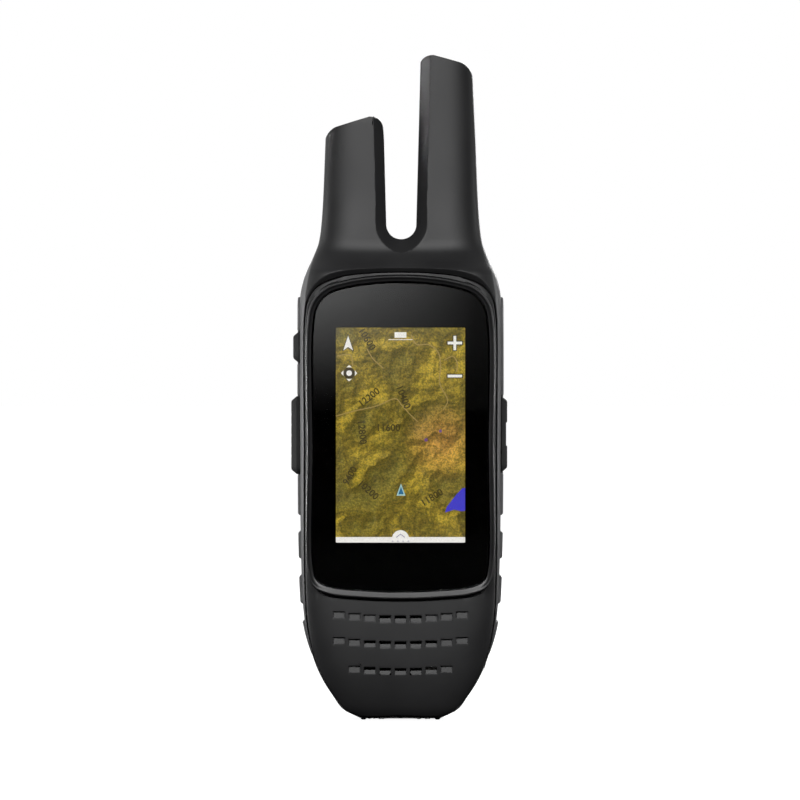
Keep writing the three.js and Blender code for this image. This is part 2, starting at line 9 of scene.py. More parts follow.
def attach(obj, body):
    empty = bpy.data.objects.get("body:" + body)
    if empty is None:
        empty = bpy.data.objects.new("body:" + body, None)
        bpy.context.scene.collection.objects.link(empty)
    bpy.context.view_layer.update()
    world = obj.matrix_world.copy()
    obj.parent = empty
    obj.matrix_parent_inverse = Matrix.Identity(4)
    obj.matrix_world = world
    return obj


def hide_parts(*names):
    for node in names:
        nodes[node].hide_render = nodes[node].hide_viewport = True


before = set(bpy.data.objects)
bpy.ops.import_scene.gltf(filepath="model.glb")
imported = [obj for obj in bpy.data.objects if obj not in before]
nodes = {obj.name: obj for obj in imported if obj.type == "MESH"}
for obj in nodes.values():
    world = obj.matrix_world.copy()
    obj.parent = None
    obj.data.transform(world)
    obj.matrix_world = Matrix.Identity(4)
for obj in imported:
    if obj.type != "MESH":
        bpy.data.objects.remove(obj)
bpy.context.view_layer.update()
scene = bpy.context.scene
toMetres = 0.001


# small helpers

def linear(hexColour):  # sRGB hex to the linear colour that shaders work in
    parts = [int(hexColour[k:k + 2], 16) / 255 for k in (1, 3, 5)]
    bent = [c / 12.92 if c <= 0.04045 else ((c + 0.055) / 1.055) ** 2.4 for c in parts]
    return (*bent, 1.0)


def mix(a, b, t):
    return a + (b - a) * t


def spread(low, high, steps):
    return [mix(low, high, k / steps) for k in range(steps)]


def spreadOver(*spans):  # several spreads end to end, with the last value added
    return [value for span in spans for value in spread(*span)] + [spans[-1][1]]


def evenly(points, count):  # the closed outline again, with its points the same distance apart
    ends = points[1:] + points[:1]
    lengths = [(b - a).length for a, b in zip(points, ends)]
    step = sum(lengths) / count
    out, k, walked = [], 0, 0.0
    for n in range(count):
        while walked + lengths[k] < n * step:
            walked += lengths[k]
            k += 1
        out.append(points[k].lerp(ends[k], (n * step - walked) / lengths[k]))
    return out


def bendThrough(knots, steps=20):  # a smooth closed curve through a few points
    fine, count = [], len(knots)
    for k in range(count):
        a, b, c, d = (Vector(knots[(k + j) % count]) for j in (-1, 0, 1, 2))
        u, v, w = ((b - a).length ** 0.5, (c - b).length ** 0.5, (d - c).length ** 0.5)
        leave = ((b - a) / u - (c - a) / (u + v) + (c - b) / v) * v
        arrive = ((c - b) / v - (d - b) / (v + w) + (d - c) / w) * v
        for s in range(steps):
            t = s / steps
            near = b * (2 * t**3 - 3 * t**2 + 1) + leave * (t**3 - 2 * t**2 + t)
            fine.append(near + c * (3 * t**2 - 2 * t**3) + arrive * (t**3 - t**2))
    return fine


def inwards(points, inset):  # an anticlockwise outline moved towards its middle
    moved = []
    for k, p in enumerate(points):
        along = (points[(k + 1) % len(points)] - points[k - 1]).normalized()
        moved.append(p + Vector((-along.y, along.x)) * inset)
    return moved


def mirroredOutline(half, count, inset=0):  # half runs up the right side, from the bottom middle to the top
    left = [(-x, z) for x, z in reversed(half[1:-1])]
    return inwards(evenly(bendThrough(list(half) + left), count), inset)


def roundedBox(x0, x1, z0, z1, radius, steps=8):
    corners = [(x1 - radius, z0 + radius, -90), (x1 - radius, z1 - radius, 0),
               (x0 + radius, z1 - radius, 90), (x0 + radius, z0 + radius, 180)]
    out = []
    for x, z, start in corners:
        for k in range(steps + 1):
            a = math.radians(start + 90 * k / steps)
            out.append(Vector((x + radius * math.cos(a), z + radius * math.sin(a))))
    return out


def loft(bm, loops, ends=True):  # a skin over closed loops that have the same number of points
    across, along = len(loops[0]), len(loops) - 1
    sheet = bmesh.ops.create_grid(bm, x_segments=across, y_segments=along, size=1)["verts"]
    for v in sheet:
        place = loops[round((v.co.y + 1) / 2 * along)][round((v.co.x + 1) / 2 * across) % across]
        v.co = place
    bmesh.ops.remove_doubles(bm, verts=sheet, dist=1e-5)
    if ends:
        bmesh.ops.holes_fill(bm, edges=[e for e in bm.edges if e.is_boundary])
    return bm


def frontLoop(outline, y):  # an outline in X and Z, stood up at depth y
    return [Vector((p.x, y, p.y)) for p in outline]


def sideLoop(outline, x):  # an outline in Y and Z, at x
    return [Vector((x, p.x, p.y)) for p in outline]


def prism(outline, y0, y1):
    return loft(bmesh.new(), [frontLoop(outline, y0), frontLoop(outline, y1)])


def sidePrism(outline, x0, x1):
    return loft(bmesh.new(), [sideLoop(outline, x0), sideLoop(outline, x1)])


def block(x0, x1, y0, y1, z0, z1):
    bm = bmesh.new()
    size = Matrix.Diagonal((x1 - x0, y1 - y0, z1 - z0, 1))
    middle = Matrix.Translation(((x0 + x1) / 2, (y0 + y1) / 2, (z0 + z1) / 2))
    bmesh.ops.create_cube(bm, size=1, matrix=middle @ size)
    return bm


turns = {"x": Matrix.Rotation(math.pi / 2, 4, "Y"), "y": Matrix.Rotation(-math.pi / 2, 4, "X"),
         "z": Matrix.Identity(4)}


# a cylinder along x, y or z, or a cone if tip is given
def rod(axis, middle, radius, length, sides=32, tip=None):
    bm = bmesh.new()
    place = Matrix.Translation(middle) @ turns[axis]
    bmesh.ops.create_cone(bm, cap_ends=True, segments=sides, radius1=radius,
                          radius2=radius if tip is None else tip, depth=length, matrix=place)
    return bm


def turned(profile, sides=48):  # a profile of (radius, height) spun round z into a closed solid
    bm = bmesh.new()
    rim = [bm.verts.new((r, 0, h)) for r, h in profile]
    chain = [bm.edges.new(pair) for pair in zip(rim, rim[1:])]
    bmesh.ops.spin(bm, geom=rim + chain, cent=(0, 0, 0), axis=(0, 0, 1), angle=2 * math.pi,
                   steps=sides, use_merge=True)
    bmesh.ops.remove_doubles(bm, verts=bm.verts, dist=1e-4)
    bmesh.ops.holes_fill(bm, edges=[e for e in bm.edges if e.is_boundary])
    return bm


def placed(bm, matrix):
    bmesh.ops.transform(bm, matrix=matrix, verts=bm.verts)
    return bm


def joined(parts):  # several bmeshes as one
    whole = bmesh.new()
    for part in parts:
        mesh = bpy.data.meshes.new("part")
        part.to_mesh(mesh)
        part.free()
        whole.from_mesh(mesh)
        bpy.data.meshes.remove(mesh)
    return whole


def asObject(bm, name):
    bmesh.ops.recalc_face_normals(bm, faces=bm.faces)
    mesh = bpy.data.meshes.new(name)
    bm.to_mesh(mesh)
    bm.free()
    made = bpy.data.objects.new(name, mesh)
    scene.collection.objects.link(made)
    return made


def shaped(bm, *steps):  # cuts, joins or trims a solid: each step is an operation and a list of bmeshes
    base = asObject(bm, "base")
    tools = []
    for operation, solids in steps:
        for solid in solids:
            tool = asObject(solid, "tool")
            tools.append(tool)
            cut = base.modifiers.new("cut", "BOOLEAN")
            cut.operation = operation
            cut.solver = "MANIFOLD"
            cut.object = tool
    done = bpy.data.meshes.new_from_object(base.evaluated_get(bpy.context.evaluated_depsgraph_get()))
    result = bmesh.new()
    result.from_mesh(done)
    for spare in [base, *tools]:
        data = spare.data
        bpy.data.objects.remove(spare)
        bpy.data.meshes.remove(data)
    bpy.data.meshes.remove(done)
    return result


def sharpEdges(bm, limit, where):
    edges = [e for e in bm.edges if len(e.link_faces) == 2 and e.calc_face_angle(0) > limit]
    return [e for e in edges if where(e)] if where else edges


# rounds the edges that turn by more than an angle
def softened(bm, width, sharper=45, segments=2, where=None):
    limit = math.radians(sharper)
    bmesh.ops.remove_doubles(bm, verts=bm.verts, dist=0.03)
    bmesh.ops.recalc_face_normals(bm, faces=bm.faces)
    rim = list({v for e in sharpEdges(bm, limit, where) for v in e.verts})
    bmesh.ops.remove_doubles(bm, verts=rim, dist=width * 0.7)
    rim = list({v for e in sharpEdges(bm, limit, where) for v in e.verts})
    tree = KDTree(len(rim))
    for k, v in enumerate(rim):
        tree.insert(v.co, k)
    tree.balance()
    kept = set(rim)
    pulled = {}  # a vertex too near a rounded edge is pulled onto it, so that the rounding has room
    for v in bm.verts:
        if v not in kept:
            _, k, away = tree.find(v.co)
            if away is not None and away < width * 1.25:
                pulled[v] = rim[k]
    bmesh.ops.weld_verts(bm, targetmap=pulled)
    bmesh.ops.dissolve_degenerate(bm, edges=bm.edges, dist=0.02)
    bmesh.ops.recalc_face_normals(bm, faces=bm.faces)
    bmesh.ops.bevel(bm, geom=sharpEdges(bm, limit, where), offset=width, offset_type="OFFSET", affect="EDGES",
                    segments=segments, profile=0.5, material=-1, clamp_overlap=False, loop_slide=True)
    return bm


# smooth is an angle in degrees
def finish(bm, name, material, body="unit", replaces=(), smooth=38):
    bmesh.ops.remove_doubles(bm, verts=bm.verts, dist=1e-4)
    slits = [e for e in bm.edges if e.is_boundary]
    if slits:
        bmesh.ops.holes_fill(bm, edges=slits)
        bmesh.ops.recalc_face_normals(bm, faces=bm.faces)
    if bm.calc_volume(signed=True) < 0:
        bmesh.ops.reverse_faces(bm, faces=bm.faces)
    bmesh.ops.scale(bm, vec=(toMetres,) * 3, verts=bm.verts)
    made = asObject(bm, name)
    made.data.materials.append(material)
    made.data.shade_smooth()
    made.data.set_sharp_from_angle(angle=math.radians(smooth))
    flats = made.modifiers.new("flatFacesStayFlat", "WEIGHTED_NORMAL")
    flats.keep_sharp = True
    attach(made, body)
    if replaces:
        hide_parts(*replaces)
    print("made", name, len(made.data.polygons), "faces")
    return made


# materials

def addNode(tree, kind, settings=None, links=None):
    node = tree.nodes.new("ShaderNode" + kind)
    for key, value in (settings or {}).items():
        if key == "stops":
            while len(node.color_ramp.elements) < len(value):
                node.color_ramp.elements.new(1.0)
            for stop, (where, colour) in zip(node.color_ramp.elements, value):
                stop.position = where
                stop.color = colour
        elif isinstance(key, int) or key in node.inputs:
            node.inputs[key].default_value = value
        else:
            setattr(node, key, value)
    for key, source in (links or {}).items():  # a node stands for its first output
        output = source if isinstance(source, bpy.types.NodeSocket) else source.outputs[0]
        tree.links.new(output, node.inputs[key])
    return node


def nodeOf(tree, kind):  # the first node of a kind in a material
    return next(node for node in tree.nodes if node.type == kind)


def startMaterial(name, settings):  # a material with its shader, and the object coordinates for patterns
    made = bpy.data.materials.new(name)
    made.use_nodes = True
    tree = made.node_tree
    tree.nodes.clear()
    shader = addNode(tree, "BsdfPrincipled", settings)
    addNode(tree, "OutputMaterial", links={"Surface": shader})
    place = addNode(tree, "TexCoord").outputs["Object"]
    return made, tree, shader, place


perMetre = lambda millimetres: 1000 / millimetres  # noise scale for a pattern of this size


def grainBump(tree, shader, place, grain, depth, strength=1.0):  # an even moulded or blasted grain
    speckle = addNode(tree, "TexNoise", {"Scale": perMetre(grain), "Detail": 3.0, "Roughness": 0.6},
                      {"Vector": place})
    bump = addNode(tree, "Bump", {"Strength": strength, "Distance": depth * toMetres},
                   {"Height": speckle})
    tree.links.new(bump.outputs[0], shader.inputs["Normal"])


# slow drift of tone, as handling and moulding leave it
def tonedColour(tree, shader, place, dark, light, patch):
    cloud = addNode(tree, "TexNoise", {"Scale": perMetre(patch), "Detail": 4.0, "Roughness": 0.55},
                    {"Vector": place})
    tone = addNode(tree, "ValToRGB", {"stops": [(0.35, linear(dark)), (0.65, linear(light))]},
                   {"Fac": cloud})
    tree.links.new(tone.outputs[0], shader.inputs["Base Color"])
    return cloud


def roughnessFrom(tree, shader, source, low, high):
    rough = addNode(tree, "MapRange", {"From Min": 0.3, "From Max": 0.7, "To Min": low, "To Max": high},
                    {"Value": source})
    tree.links.new(rough.outputs[0], shader.inputs["Roughness"])


def toned(name, settings, tones, rough, grain=None):  # tones: dark, light, patch size; grain: size, depth
    made, tree, shader, place = startMaterial(name, settings)
    cloud = tonedColour(tree, shader, place, *tones)
    roughnessFrom(tree, shader, cloud, *rough)
    if grain:
        grainBump(tree, shader, place, *grain)
    return made


# a printed or woven pattern that stands up a little
def patterned(name, settings, kind, texture, rise, strength):
    made, tree, shader, place = startMaterial(name, settings)
    pattern = addNode(tree, kind, texture, {"Vector": place})
    tree.links.new(pattern.outputs["Color"], shader.inputs["Base Color"])
    raised = addNode(tree, "Bump", {"Strength": strength, "Distance": rise * toMetres},
                     {"Height": pattern.outputs["Fac"]})
    tree.links.new(raised.outputs[0], shader.inputs["Normal"])
    return made


# PC and ABS blend from a spark eroded mould; the true grain is 0.05 mm, drawn coarser so that it shows
charcoalBlend = {"settings": {"IOR": 1.55}, "tones": ("#262627", "#2c2c2d", 22), "rough": (0.44, 0.52),
                 "grain": (0.32, 0.012)}


def sparkErodedBlend():  # the blend as it leaves the mould: satin charcoal with a fine even grain
    return toned("sparkErodedBlend", **charcoalBlend)


def blendWithPaintedRailHighlight():  # the same blend, charcoal, with a grey band painted along each side: a painted highlight standing in for the side light that the rails catch
    made = toned("blendWithPaintedRailHighlight", **charcoalBlend)
    tree = made.node_tree
    shader = nodeOf(tree, "BSDF_PRINCIPLED")
    parts = addNode(tree, "SeparateXYZ", links={0: nodeOf(tree, "TEX_COORD").outputs["Object"]})
    across = addNode(tree, "Math", {"operation": "ABSOLUTE"}, {0: parts.outputs["X"]})
    rise = addNode(tree, "MapRange", {"From Min": 0.0, "From Max": 0.15}, {"Value": parts.outputs["Z"]})
    edge = panelEdge[:9] + [(28.6, 131), (27.6, 137), (26.4, 142), (25.3, 147), (25.3, 150)]
    # the ramp holds a half width at each height
    stops = [(z / 150, (x / 40, x / 40, x / 40, 1)) for x, z in edge]
    border = addNode(tree, "ValToRGB", {"stops": stops}, {"Fac": rise})
    beyond = addNode(tree, "Math", {"operation": "MULTIPLY_ADD", 1: -0.04}, {0: border, 2: across})
    railHighlightBand = addNode(tree, "MapRange", {"From Min": 0.0004, "From Max": 0.0008}, {"Value": beyond})
    # this grey is a painted highlight, not the plastic's own colour
    railHighlightGrey = addNode(tree, "ValToRGB", {"stops": [(0.35, linear("#727273")), (0.65, linear("#7c7c7d"))]},
                   {"Fac": nodeOf(tree, "TEX_NOISE")})
    charcoal = shader.inputs["Base Color"].links[0].from_socket
    both = addNode(tree, "Mix", {"data_type": "RGBA"}, {0: railHighlightBand, 6: charcoal, 7: railHighlightGrey})
    tree.links.new(both.outputs[2], shader.inputs["Base Color"])
    return made


def satinBezelPlastic():  # smoother moulded rim round the glass, nearly black
    return toned("satinBezelPlastic", {"IOR": 1.55}, ("#242425", "#2a2a2b", 14), (0.3, 0.38), (0.3, 0.003))


def siliconeRubber(dark, light):  # compression moulded silicone: matt, holds a little dust
    settings = {"IOR": 1.43, "Sheen Weight": 0.06, "Sheen Roughness": 0.5}
    return toned("siliconeRubber", settings, (dark, light, 9), (0.6, 0.74), (0.4, 0.01))


def toughenedGlass():  # chemically toughened cover glass, polished, clear over the display
    settings = {"IOR": 1.5, "Transmission Weight": 1.0, "Base Color": (1, 1, 1, 1)}
    made, tree, shader, place = startMaterial("toughenedGlass", settings)
    smear = addNode(tree, "TexNoise", {"Scale": perMetre(30), "Detail": 6.0, "Roughness": 0.7},
                    {"Vector": place})
    roughnessFrom(tree, shader, smear, 0.0, 0.03)
    return made


def blackInk():  # screen printed ink on the back of the glass: dead flat black
    made, tree, shader, place = startMaterial("blackInk", {"Roughness": 0.9, "Specular IOR Level": 0.0})
    tonedColour(tree, shader, place, "#040404", "#060606", 5)
    return made


def polishedSteel():  # stainless steel, tumbled and lightly polished: bright with soft scratches
    return toned("polishedSteel", {"Metallic": 1.0}, ("#a9abad", "#bcbdbf", 6), (0.24, 0.34), (0.25, 0.002))


def blackenedSteel():  # black zinc plated screw heads: dark, a little oily
    return toned("blackenedSteel", {"Metallic": 1.0}, ("#3a3a3c", "#4a4a4d", 2), (0.3, 0.42), (0.2, 0.003))


def stampedNickelSilver():  # pressed shielding and socket shells: pale warm grey with a rolled direction
    made = toned("stampedNickelSilver", {"Metallic": 1.0}, ("#a8a59d", "#bab7ae", 5), (0.3, 0.4))
    tree = made.node_tree
    place = nodeOf(tree, "TEX_COORD").outputs["Object"]
    rolled = addNode(tree, "Mapping", {"Scale": (1.0, 1.0, 0.06)}, {"Vector": place})
    grainBump(tree, nodeOf(tree, "BSDF_PRINCIPLED"), rolled, 0.15, 0.002)
    return made


def hardGoldPlate():  # electroplated hard gold over nickel, on contacts and the antenna strip
    return toned("hardGoldPlate", {"Metallic": 1.0}, ("#cfa54f", "#dcb45c", 3), (0.22, 0.32), (0.2, 0.002))


def solderMask():  # green epoxy mask over copper tracks: glossy, the tracks show through as paler lines
    board = {"Scale": perMetre(6), "Color1": linear("#1a4a2b"), "Color2": linear("#1f5732"),
             "Mortar": linear("#2b6e40"), "Mortar Size": 0.03}
    settings = {"IOR": 1.5, "Roughness": 0.28, "Coat Weight": 0.3}
    return patterned("solderMask", settings, "TexBrick", board, 0.03, 0.6)


def firedCeramic():  # sintered dielectric ceramic of the position antenna: chalky cream
    return toned("firedCeramic", {"IOR": 1.7}, ("#cfc7b4", "#ddd6c6", 3), (0.5, 0.62), (0.2, 0.006))


def shrinkFilm():  # printed polymer film shrunk over the cells: glossy blue with faint wrinkles
    settings = {"IOR": 1.5, "Coat Weight": 0.2}
    return toned("shrinkFilm", settings, ("#35547c", "#41638f", 10), (0.25, 0.4), (3.0, 0.05, 0.6))


def mouldedNylon():  # glass filled nylon of the sockets and inner plates: black, faintly fibrous
    return toned("mouldedNylon", {"IOR": 1.53}, ("#1a1a1b", "#232325", 4), (0.5, 0.64), (0.25, 0.008))


def acousticMesh():  # woven polyester mesh, threads 0.1 mm apart, drawn at 0.4 mm so that they show
    weave = {"Scale": perMetre(0.4), "Color1": linear("#0c0c0d"), "Color2": linear("#1b1b1c")}
    return patterned("acousticMesh", {"IOR": 1.5, "Roughness": 0.8}, "TexChecker", weave, 0.05, 0.8)


def coatedLensGlass():  # optical glass with a blooming coat: dark, with a violet cast
    settings = {"IOR": 1.52, "Coat Weight": 1.0, "Coat Tint": (0.75, 0.7, 1.0, 1.0)}
    return toned("coatedLensGlass", settings, ("#0a0a12", "#12101d", 4), (0.02, 0.05))


def frostedDiffuser():  # clear polycarbonate over the flash: milky, with the yellow of its phosphor behind
    return toned("frostedDiffuser", {"IOR": 1.58}, ("#c9c3a2", "#d8d3bb", 1.5), (0.15, 0.28))


# plain marks on the display: light from behind, pixel grain only
def litPixels(name, dark, light, patch=0.4):
    made, tree, shader, place = startMaterial(name, {"Roughness": 0.4, "Emission Strength": 1.0,
                                                     "Base Color": (0.01, 0.01, 0.01, 1.0)})
    cells = addNode(tree, "TexNoise", {"Scale": perMetre(patch), "Detail": 1.0}, {"Vector": place})
    tone = addNode(tree, "ValToRGB", {"stops": [(0.3, linear(dark)), (0.7, linear(light))]},
                   {"Fac": cells})
    tree.links.new(tone.outputs[0], shader.inputs["Emission Color"])
    return made


mapLook = {
    "warp": 0.008, "valleys": 15, "light": (0.0005, 0.0, -0.0006), "relief": 0.042, "speckle": 0.5,
    "tones": [(0.28, "#4d4622"), (0.42, "#6f6424"), (0.52, "#8a7826"), (0.62, "#988328"), (0.75, "#ab9033")],
    "clearing": (0.0125, -0.017, 0.085), "clearingTone": "#ad7f3d", "clearingReach": 0.013,
}


def litReliefMap():  # liquid crystal panel lit from behind: a relief map in ochre, olive and brown
    settings = {"Roughness": 0.35, "IOR": 1.5, "Emission Strength": 1.0,
                "Base Color": (0.01, 0.01, 0.01, 1.0)}
    made, tree, shader, place = startMaterial("litReliefMap", settings)
    drift = addNode(tree, "TexNoise", {"Scale": perMetre(20), "Detail": 3.0}, {"Vector": place})
    centred = addNode(tree, "VectorMath", {"operation": "SUBTRACT", 1: (0.5, 0.5, 0.5)},
                      {0: drift.outputs["Color"]})
    bent = addNode(tree, "VectorMath", {"operation": "MULTIPLY_ADD", 1: (mapLook["warp"],) * 3},
                   {0: centred, 2: place})
    moved = addNode(tree, "VectorMath", {"operation": "ADD", 1: mapLook["light"]}, {0: bent})
    heights = []
    for source in (bent, moved):
        wave = addNode(tree, "TexNoise", {"Scale": perMetre(mapLook["valleys"]), "Detail": 6.0,
                                          "Roughness": 0.5},
                       {"Vector": source.outputs[0]})
        folded = addNode(tree, "Math", {"operation": "MULTIPLY_ADD", 1: 2.0, 2: -1.0}, {0: wave})
        ridge = addNode(tree, "Math", {"operation": "ABSOLUTE"}, {0: folded})
        heights.append((wave, ridge))
    steep = addNode(tree, "Math", {"operation": "SUBTRACT"}, {0: heights[0][1], 1: heights[1][1]})
    shade = addNode(tree, "MapRange", {"From Min": -mapLook["relief"], "From Max": mapLook["relief"],
                                       "To Min": 0.62,
                                       "To Max": 1.32}, {"Value": steep})
    stops = [(at, linear(tone)) for at, tone in mapLook["tones"]]
    ground = addNode(tree, "ValToRGB", {"stops": stops}, {"Fac": heights[0][0]})
    away = addNode(tree, "VectorMath", {"operation": "DISTANCE", 1: mapLook["clearing"]}, {0: bent})
    near = addNode(tree, "MapRange", {"From Min": 0.002, "From Max": mapLook["clearingReach"], "To Min": 0.75,
                                      "To Max": 0.0}, {"Value": away.outputs["Value"]})
    cleared = addNode(tree, "Mix", {"data_type": "RGBA", 7: linear(mapLook["clearingTone"])},
                      {0: near, 6: ground})
    dots = addNode(tree, "TexNoise", {"Scale": perMetre(mapLook["speckle"]), "Detail": 2.0},
                   {"Vector": place})
    flecks = addNode(tree, "ValToRGB", {"stops": [(0.36, (0.56, 0.64, 0.5, 1)), (0.5, (1, 1, 1, 1)),
                                                  (0.64, (1.5, 1.42, 1.1, 1))]}, {"Fac": dots})
    flecked = addNode(tree, "Mix", {"data_type": "RGBA", "blend_type": "MULTIPLY", 0: 1.0},
                      {6: cleared.outputs[2], 7: flecks})
    valley = addNode(tree, "MapRange", {"From Min": 0.0, "From Max": 0.16, "To Min": 0.62, "To Max": 1.04},
                     {"Value": heights[0][1]})
    sunk = addNode(tree, "Math", {"operation": "MULTIPLY"}, {0: shade, 1: valley})
    lit = addNode(tree, "VectorMath", {"operation": "SCALE"}, {0: flecked.outputs[2], "Scale": sunk})
    tree.links.new(lit.outputs[0], shader.inputs["Emission Color"])
    return made


print("materials ready")


# the rounded body that most pieces are cut from

stations = [  # height, half width, front, back and how square the corners are
    (0.6, 12.8, -9.6, 9.4, 5.6),
    (3, 17.6, -12.0, 10.6, 4.8),
    (7, 20.7, -13.7, 11.5, 4.4),
    (12, 23.9, -14.9, 12.1, 4.3),
    (18, 26.6, -15.7, 12.5, 4.4),
    (28, 29.3, -16.2, 12.8, 4.8),
    (44, 30.6, -16.4, 13.0, 5.0),
    (90, 31.1, -16.4, 13.0, 5.0),
    (124, 31.1, -16.4, 13.0, 5.0),
    (131, 30.9, -16.4, 12.9, 4.9),
    (136, 29.8, -16.4, 12.4, 4.4),
    (137.5, 29.2, -16.35, 12.1, 4.3),
    (138.6, 28.8, -15.9, 11.9, 4.1),
    (139.8, 28.3, -14.5, 11.6, 4.0),
    (141.2, 27.65, -12.8, 11.3, 3.9),
    (142.8, 27.0, -11.4, 10.9, 3.7),
    (144.6, 26.25, -10.4, 10.5, 3.5),
    (147, 25.4, -9.9, 9.9, 3.4),
    (151, 24.7, -9.7, 9.2, 3.3),
    (160, 24.0, -9.3, 8.6, 3.3),
    (180, 23.2, -8.8, 7.8, 3.3),
    (206, 22.0, -8.2, 6.8, 3.3),
]
bodyHeights = spreadOver((0.6, 34, 34), (34, 120, 30), (120, 135, 15), (135, 148, 26), (148, 156, 5),
                         (156, 206, 22))


def stationAt(z):  # the station table at any height, smoothly
    z = min(max(z, stations[0][0]), stations[-1][0])
    k = max(i for i in range(len(stations) - 1) if stations[i][0] <= z)
    low, high = stations[k], stations[k + 1]
    before, after = stations[max(k - 1, 0)], stations[min(k + 2, len(stations) - 1)]
    span = high[0] - low[0]
    t = (z - low[0]) / span
    out = []
    for c in (1, 2, 3, 4):
        leave = (high[c] - before[c]) / (high[0] - before[0]) * span
        arrive = (after[c] - low[c]) / (after[0] - low[0]) * span
        start = low[c] * (2 * t**3 - 3 * t**2 + 1) + leave * (t**3 - 2 * t**2 + t)
        out.append(start + high[c] * (3 * t**2 - 2 * t**3) + arrive * (t**3 - t**2))
    return out


def hullLoop(z, grow, count=200):
    half, front, back, power = stationAt(z)
    fine = []
    for k in range(600):
        c, s = math.cos(math.tau * k / 600), math.sin(math.tau * k / 600)
        x = math.copysign(abs(c) ** (2 / power), c) * (half + grow)
        y = (front + back) / 2 + math.copysign(abs(s) ** (2 / power), s) * ((back - front) / 2 + grow)
        fine.append(Vector((x, y)))
    return [Vector((p.x, p.y, z)) for p in evenly(fine, count)]


def hull(grow, heights=bodyHeights):
    return loft(bmesh.new(), [hullLoop(z, grow) for z in heights])


def beyondHull(place, grow):  # whether a point is outside the body grown by this much
    half, front, back, power = stationAt(place.z)
    deep = abs((place.y - (front + back) / 2) / ((back - front) / 2 + grow))
    return abs(place.x / (half + grow)) ** power + deep**power > 1


def surfaceY(x, z, side=-1, grow=0):  # depth of the body's front (or back) at a place
    half, front, back, power = stationAt(z)
    share = max(0.0, 1 - abs(x / (half + grow)) ** power) ** (1 / power)
    return (front + back) / 2 + side * ((back - front) / 2 + grow) * share


# main housing

panelEdge = [(0, 1.6), (14.6, 2.0), (18.9, 5.6), (23.0, 11.8), (26.0, 18.6), (28.3, 29), (29.1, 44),
             (29.1, 84), (29.1, 123.5), (28.1, 129.1), (25.4, 133.1), (18.6, 136.0), (9.0, 137.2), (0, 137.5)]
glassEdge = [(0, 40.2), (11.5, 40.6), (21.5, 41.7), (25.4, 43.6), (26.6, 48.0), (26.6, 84), (26.6, 121),
             (25.3, 127.4), (22.0, 131.0), (16.8, 132.8), (8.6, 134.1), (0, 134.5)]
packEdge = [(0, 5.4), (13.5, 5.7), (18.6, 8.8), (23.6, 16), (26.2, 24), (27.2, 36), (27.2, 70), (27.2, 107),
            (25.6, 112), (20.5, 114), (0, 114)]
seam = 0.35  # gap between two pieces that touch
housing = {"ledge": -8.6, "cavityBack": 1.0, "cavityInset": 1.5, "bayFloor": 2.6, "edgeRound": 0.27,
           "seamDeep": 1.1, "seamDeepTop": 2.1}
cleft = {"x": 0.25, "half": 4.65, "bottom": 148.2, "lean": 0.026, "frontStart": -6.1, "backStart": 7.0,
         "top": 215}
towers = [
    {"side": -1, "peakX": 9.6, "peakZ": 185.9, "outerZ": 182.8, "corner": 3.4},
    {"side": 1, "peakX": 10.2, "peakZ": 204.9, "outerZ": 202.8, "corner": 4.3},
]
tipRadius = 4.2
keyY = -4.6
talkKey = {"low": 75.7, "high": 99.8, "deep": 7.6, "face": -33.7}
powerKey = {"low": 110.0, "high": 119.7, "deep": 7.8, "face": -33.1}
portCap = {"low": 76.3, "high": 99.8, "deep": 9.0, "face": 32.9, "seat": 31.0}
grip = {"proud": 0.7, "sunk": 0.8, "front": -8.6, "back": 7.6, "low": 20, "high": 130.4}
camera = {"x": 0, "z": 129, "radius": 5.4, "flashX": 12}
screws = [(-22.0, 124), (22.0, 124), (-22.6, 70), (22.6, 70), (-17.5, 16.5), (17.5, 16.5)]


# depth that a screw head sits at: on the back above the battery bay, on its floor inside it
def screwSeat(z):
    return 10.4 if z > 116 else 2.4


def cleftLoop(grow, depth):  # the open space between the towers; depth gives y at each height
    half, centre = cleft["half"] + grow, cleft["bottom"] + cleft["half"]
    flare = (cleft["top"] - centre) * cleft["lean"]
    points = [(half * math.cos(a), centre + half * math.sin(a)) for a in spread(math.pi, math.tau, 28)]
    points += [(half + flare * t, mix(centre, cleft["top"], t)) for t in spread(0, 1, 12)]
    points += [(half + flare, cleft["top"]), (-half - flare, cleft["top"])]
    points += [(-half - flare * (1 - t), mix(cleft["top"], centre, t)) for t in spread(0, 1, 12)[1:]]
    return [Vector((x + cleft["x"], depth(z), z)) for x, z in points]


def cleftFlare(side):  # a 45 degree funnel that cuts the bevel along the cleft's front or back edge
    start = cleft["frontStart"] if side < 0 else cleft["backStart"]
    slope = 0.022 if side < 0 else -0.04
    loops = []
    for grow in (-0.8, 3, 12):
        loops.append(cleftLoop(grow, lambda z: start + slope * (z - 160) + side * grow))
    return loft(bmesh.new(), loops)


def bow(a, b, c, steps=8):  # from a to c, pulled towards b
    return [a.lerp(b, t).lerp(b.lerp(c, t), t) for t in spreadOver((0, 1, steps))]


def towerTop(tower):  # what is cut away above a tower
    side, low = tower["side"], tower["peakZ"] - tipRadius
    at = lambda x, z: Vector((side * x, z))
    inner = cleft["half"] + (low - cleft["bottom"]) * cleft["lean"] - 0.25
    edge = stationAt(tower["outerZ"])[0]
    shoulder = at(edge - tower["corner"] * 0.9, tower["outerZ"])
    outer = at(edge + 0.7, tower["outerZ"] - tower["corner"] - 1.6)
    outline = [at(0.2, low)] + bow(at(inner, low), at(inner, tower["peakZ"]),
                                   at(tower["peakX"], tower["peakZ"]))
    outline += bow(shoulder, at(edge - 0.2, tower["outerZ"] - 1.2), outer)
    outline += [at(40, outer.y), at(40, 230), at(0.2, 230)]
    return prism(outline, -40, 40)


def gripOutline(grow):
    return roundedBox(grip["front"] - grow, grip["back"] + grow, grip["low"] - grow, grip["high"] + grow, 5)


def keyOutline(spec, grow, radius=2.4):
    half = spec["deep"] / 2 + grow
    return roundedBox(keyY - half, keyY + half, spec["low"] - grow, spec["high"] + grow,
                      max(radius + grow, 0.4))


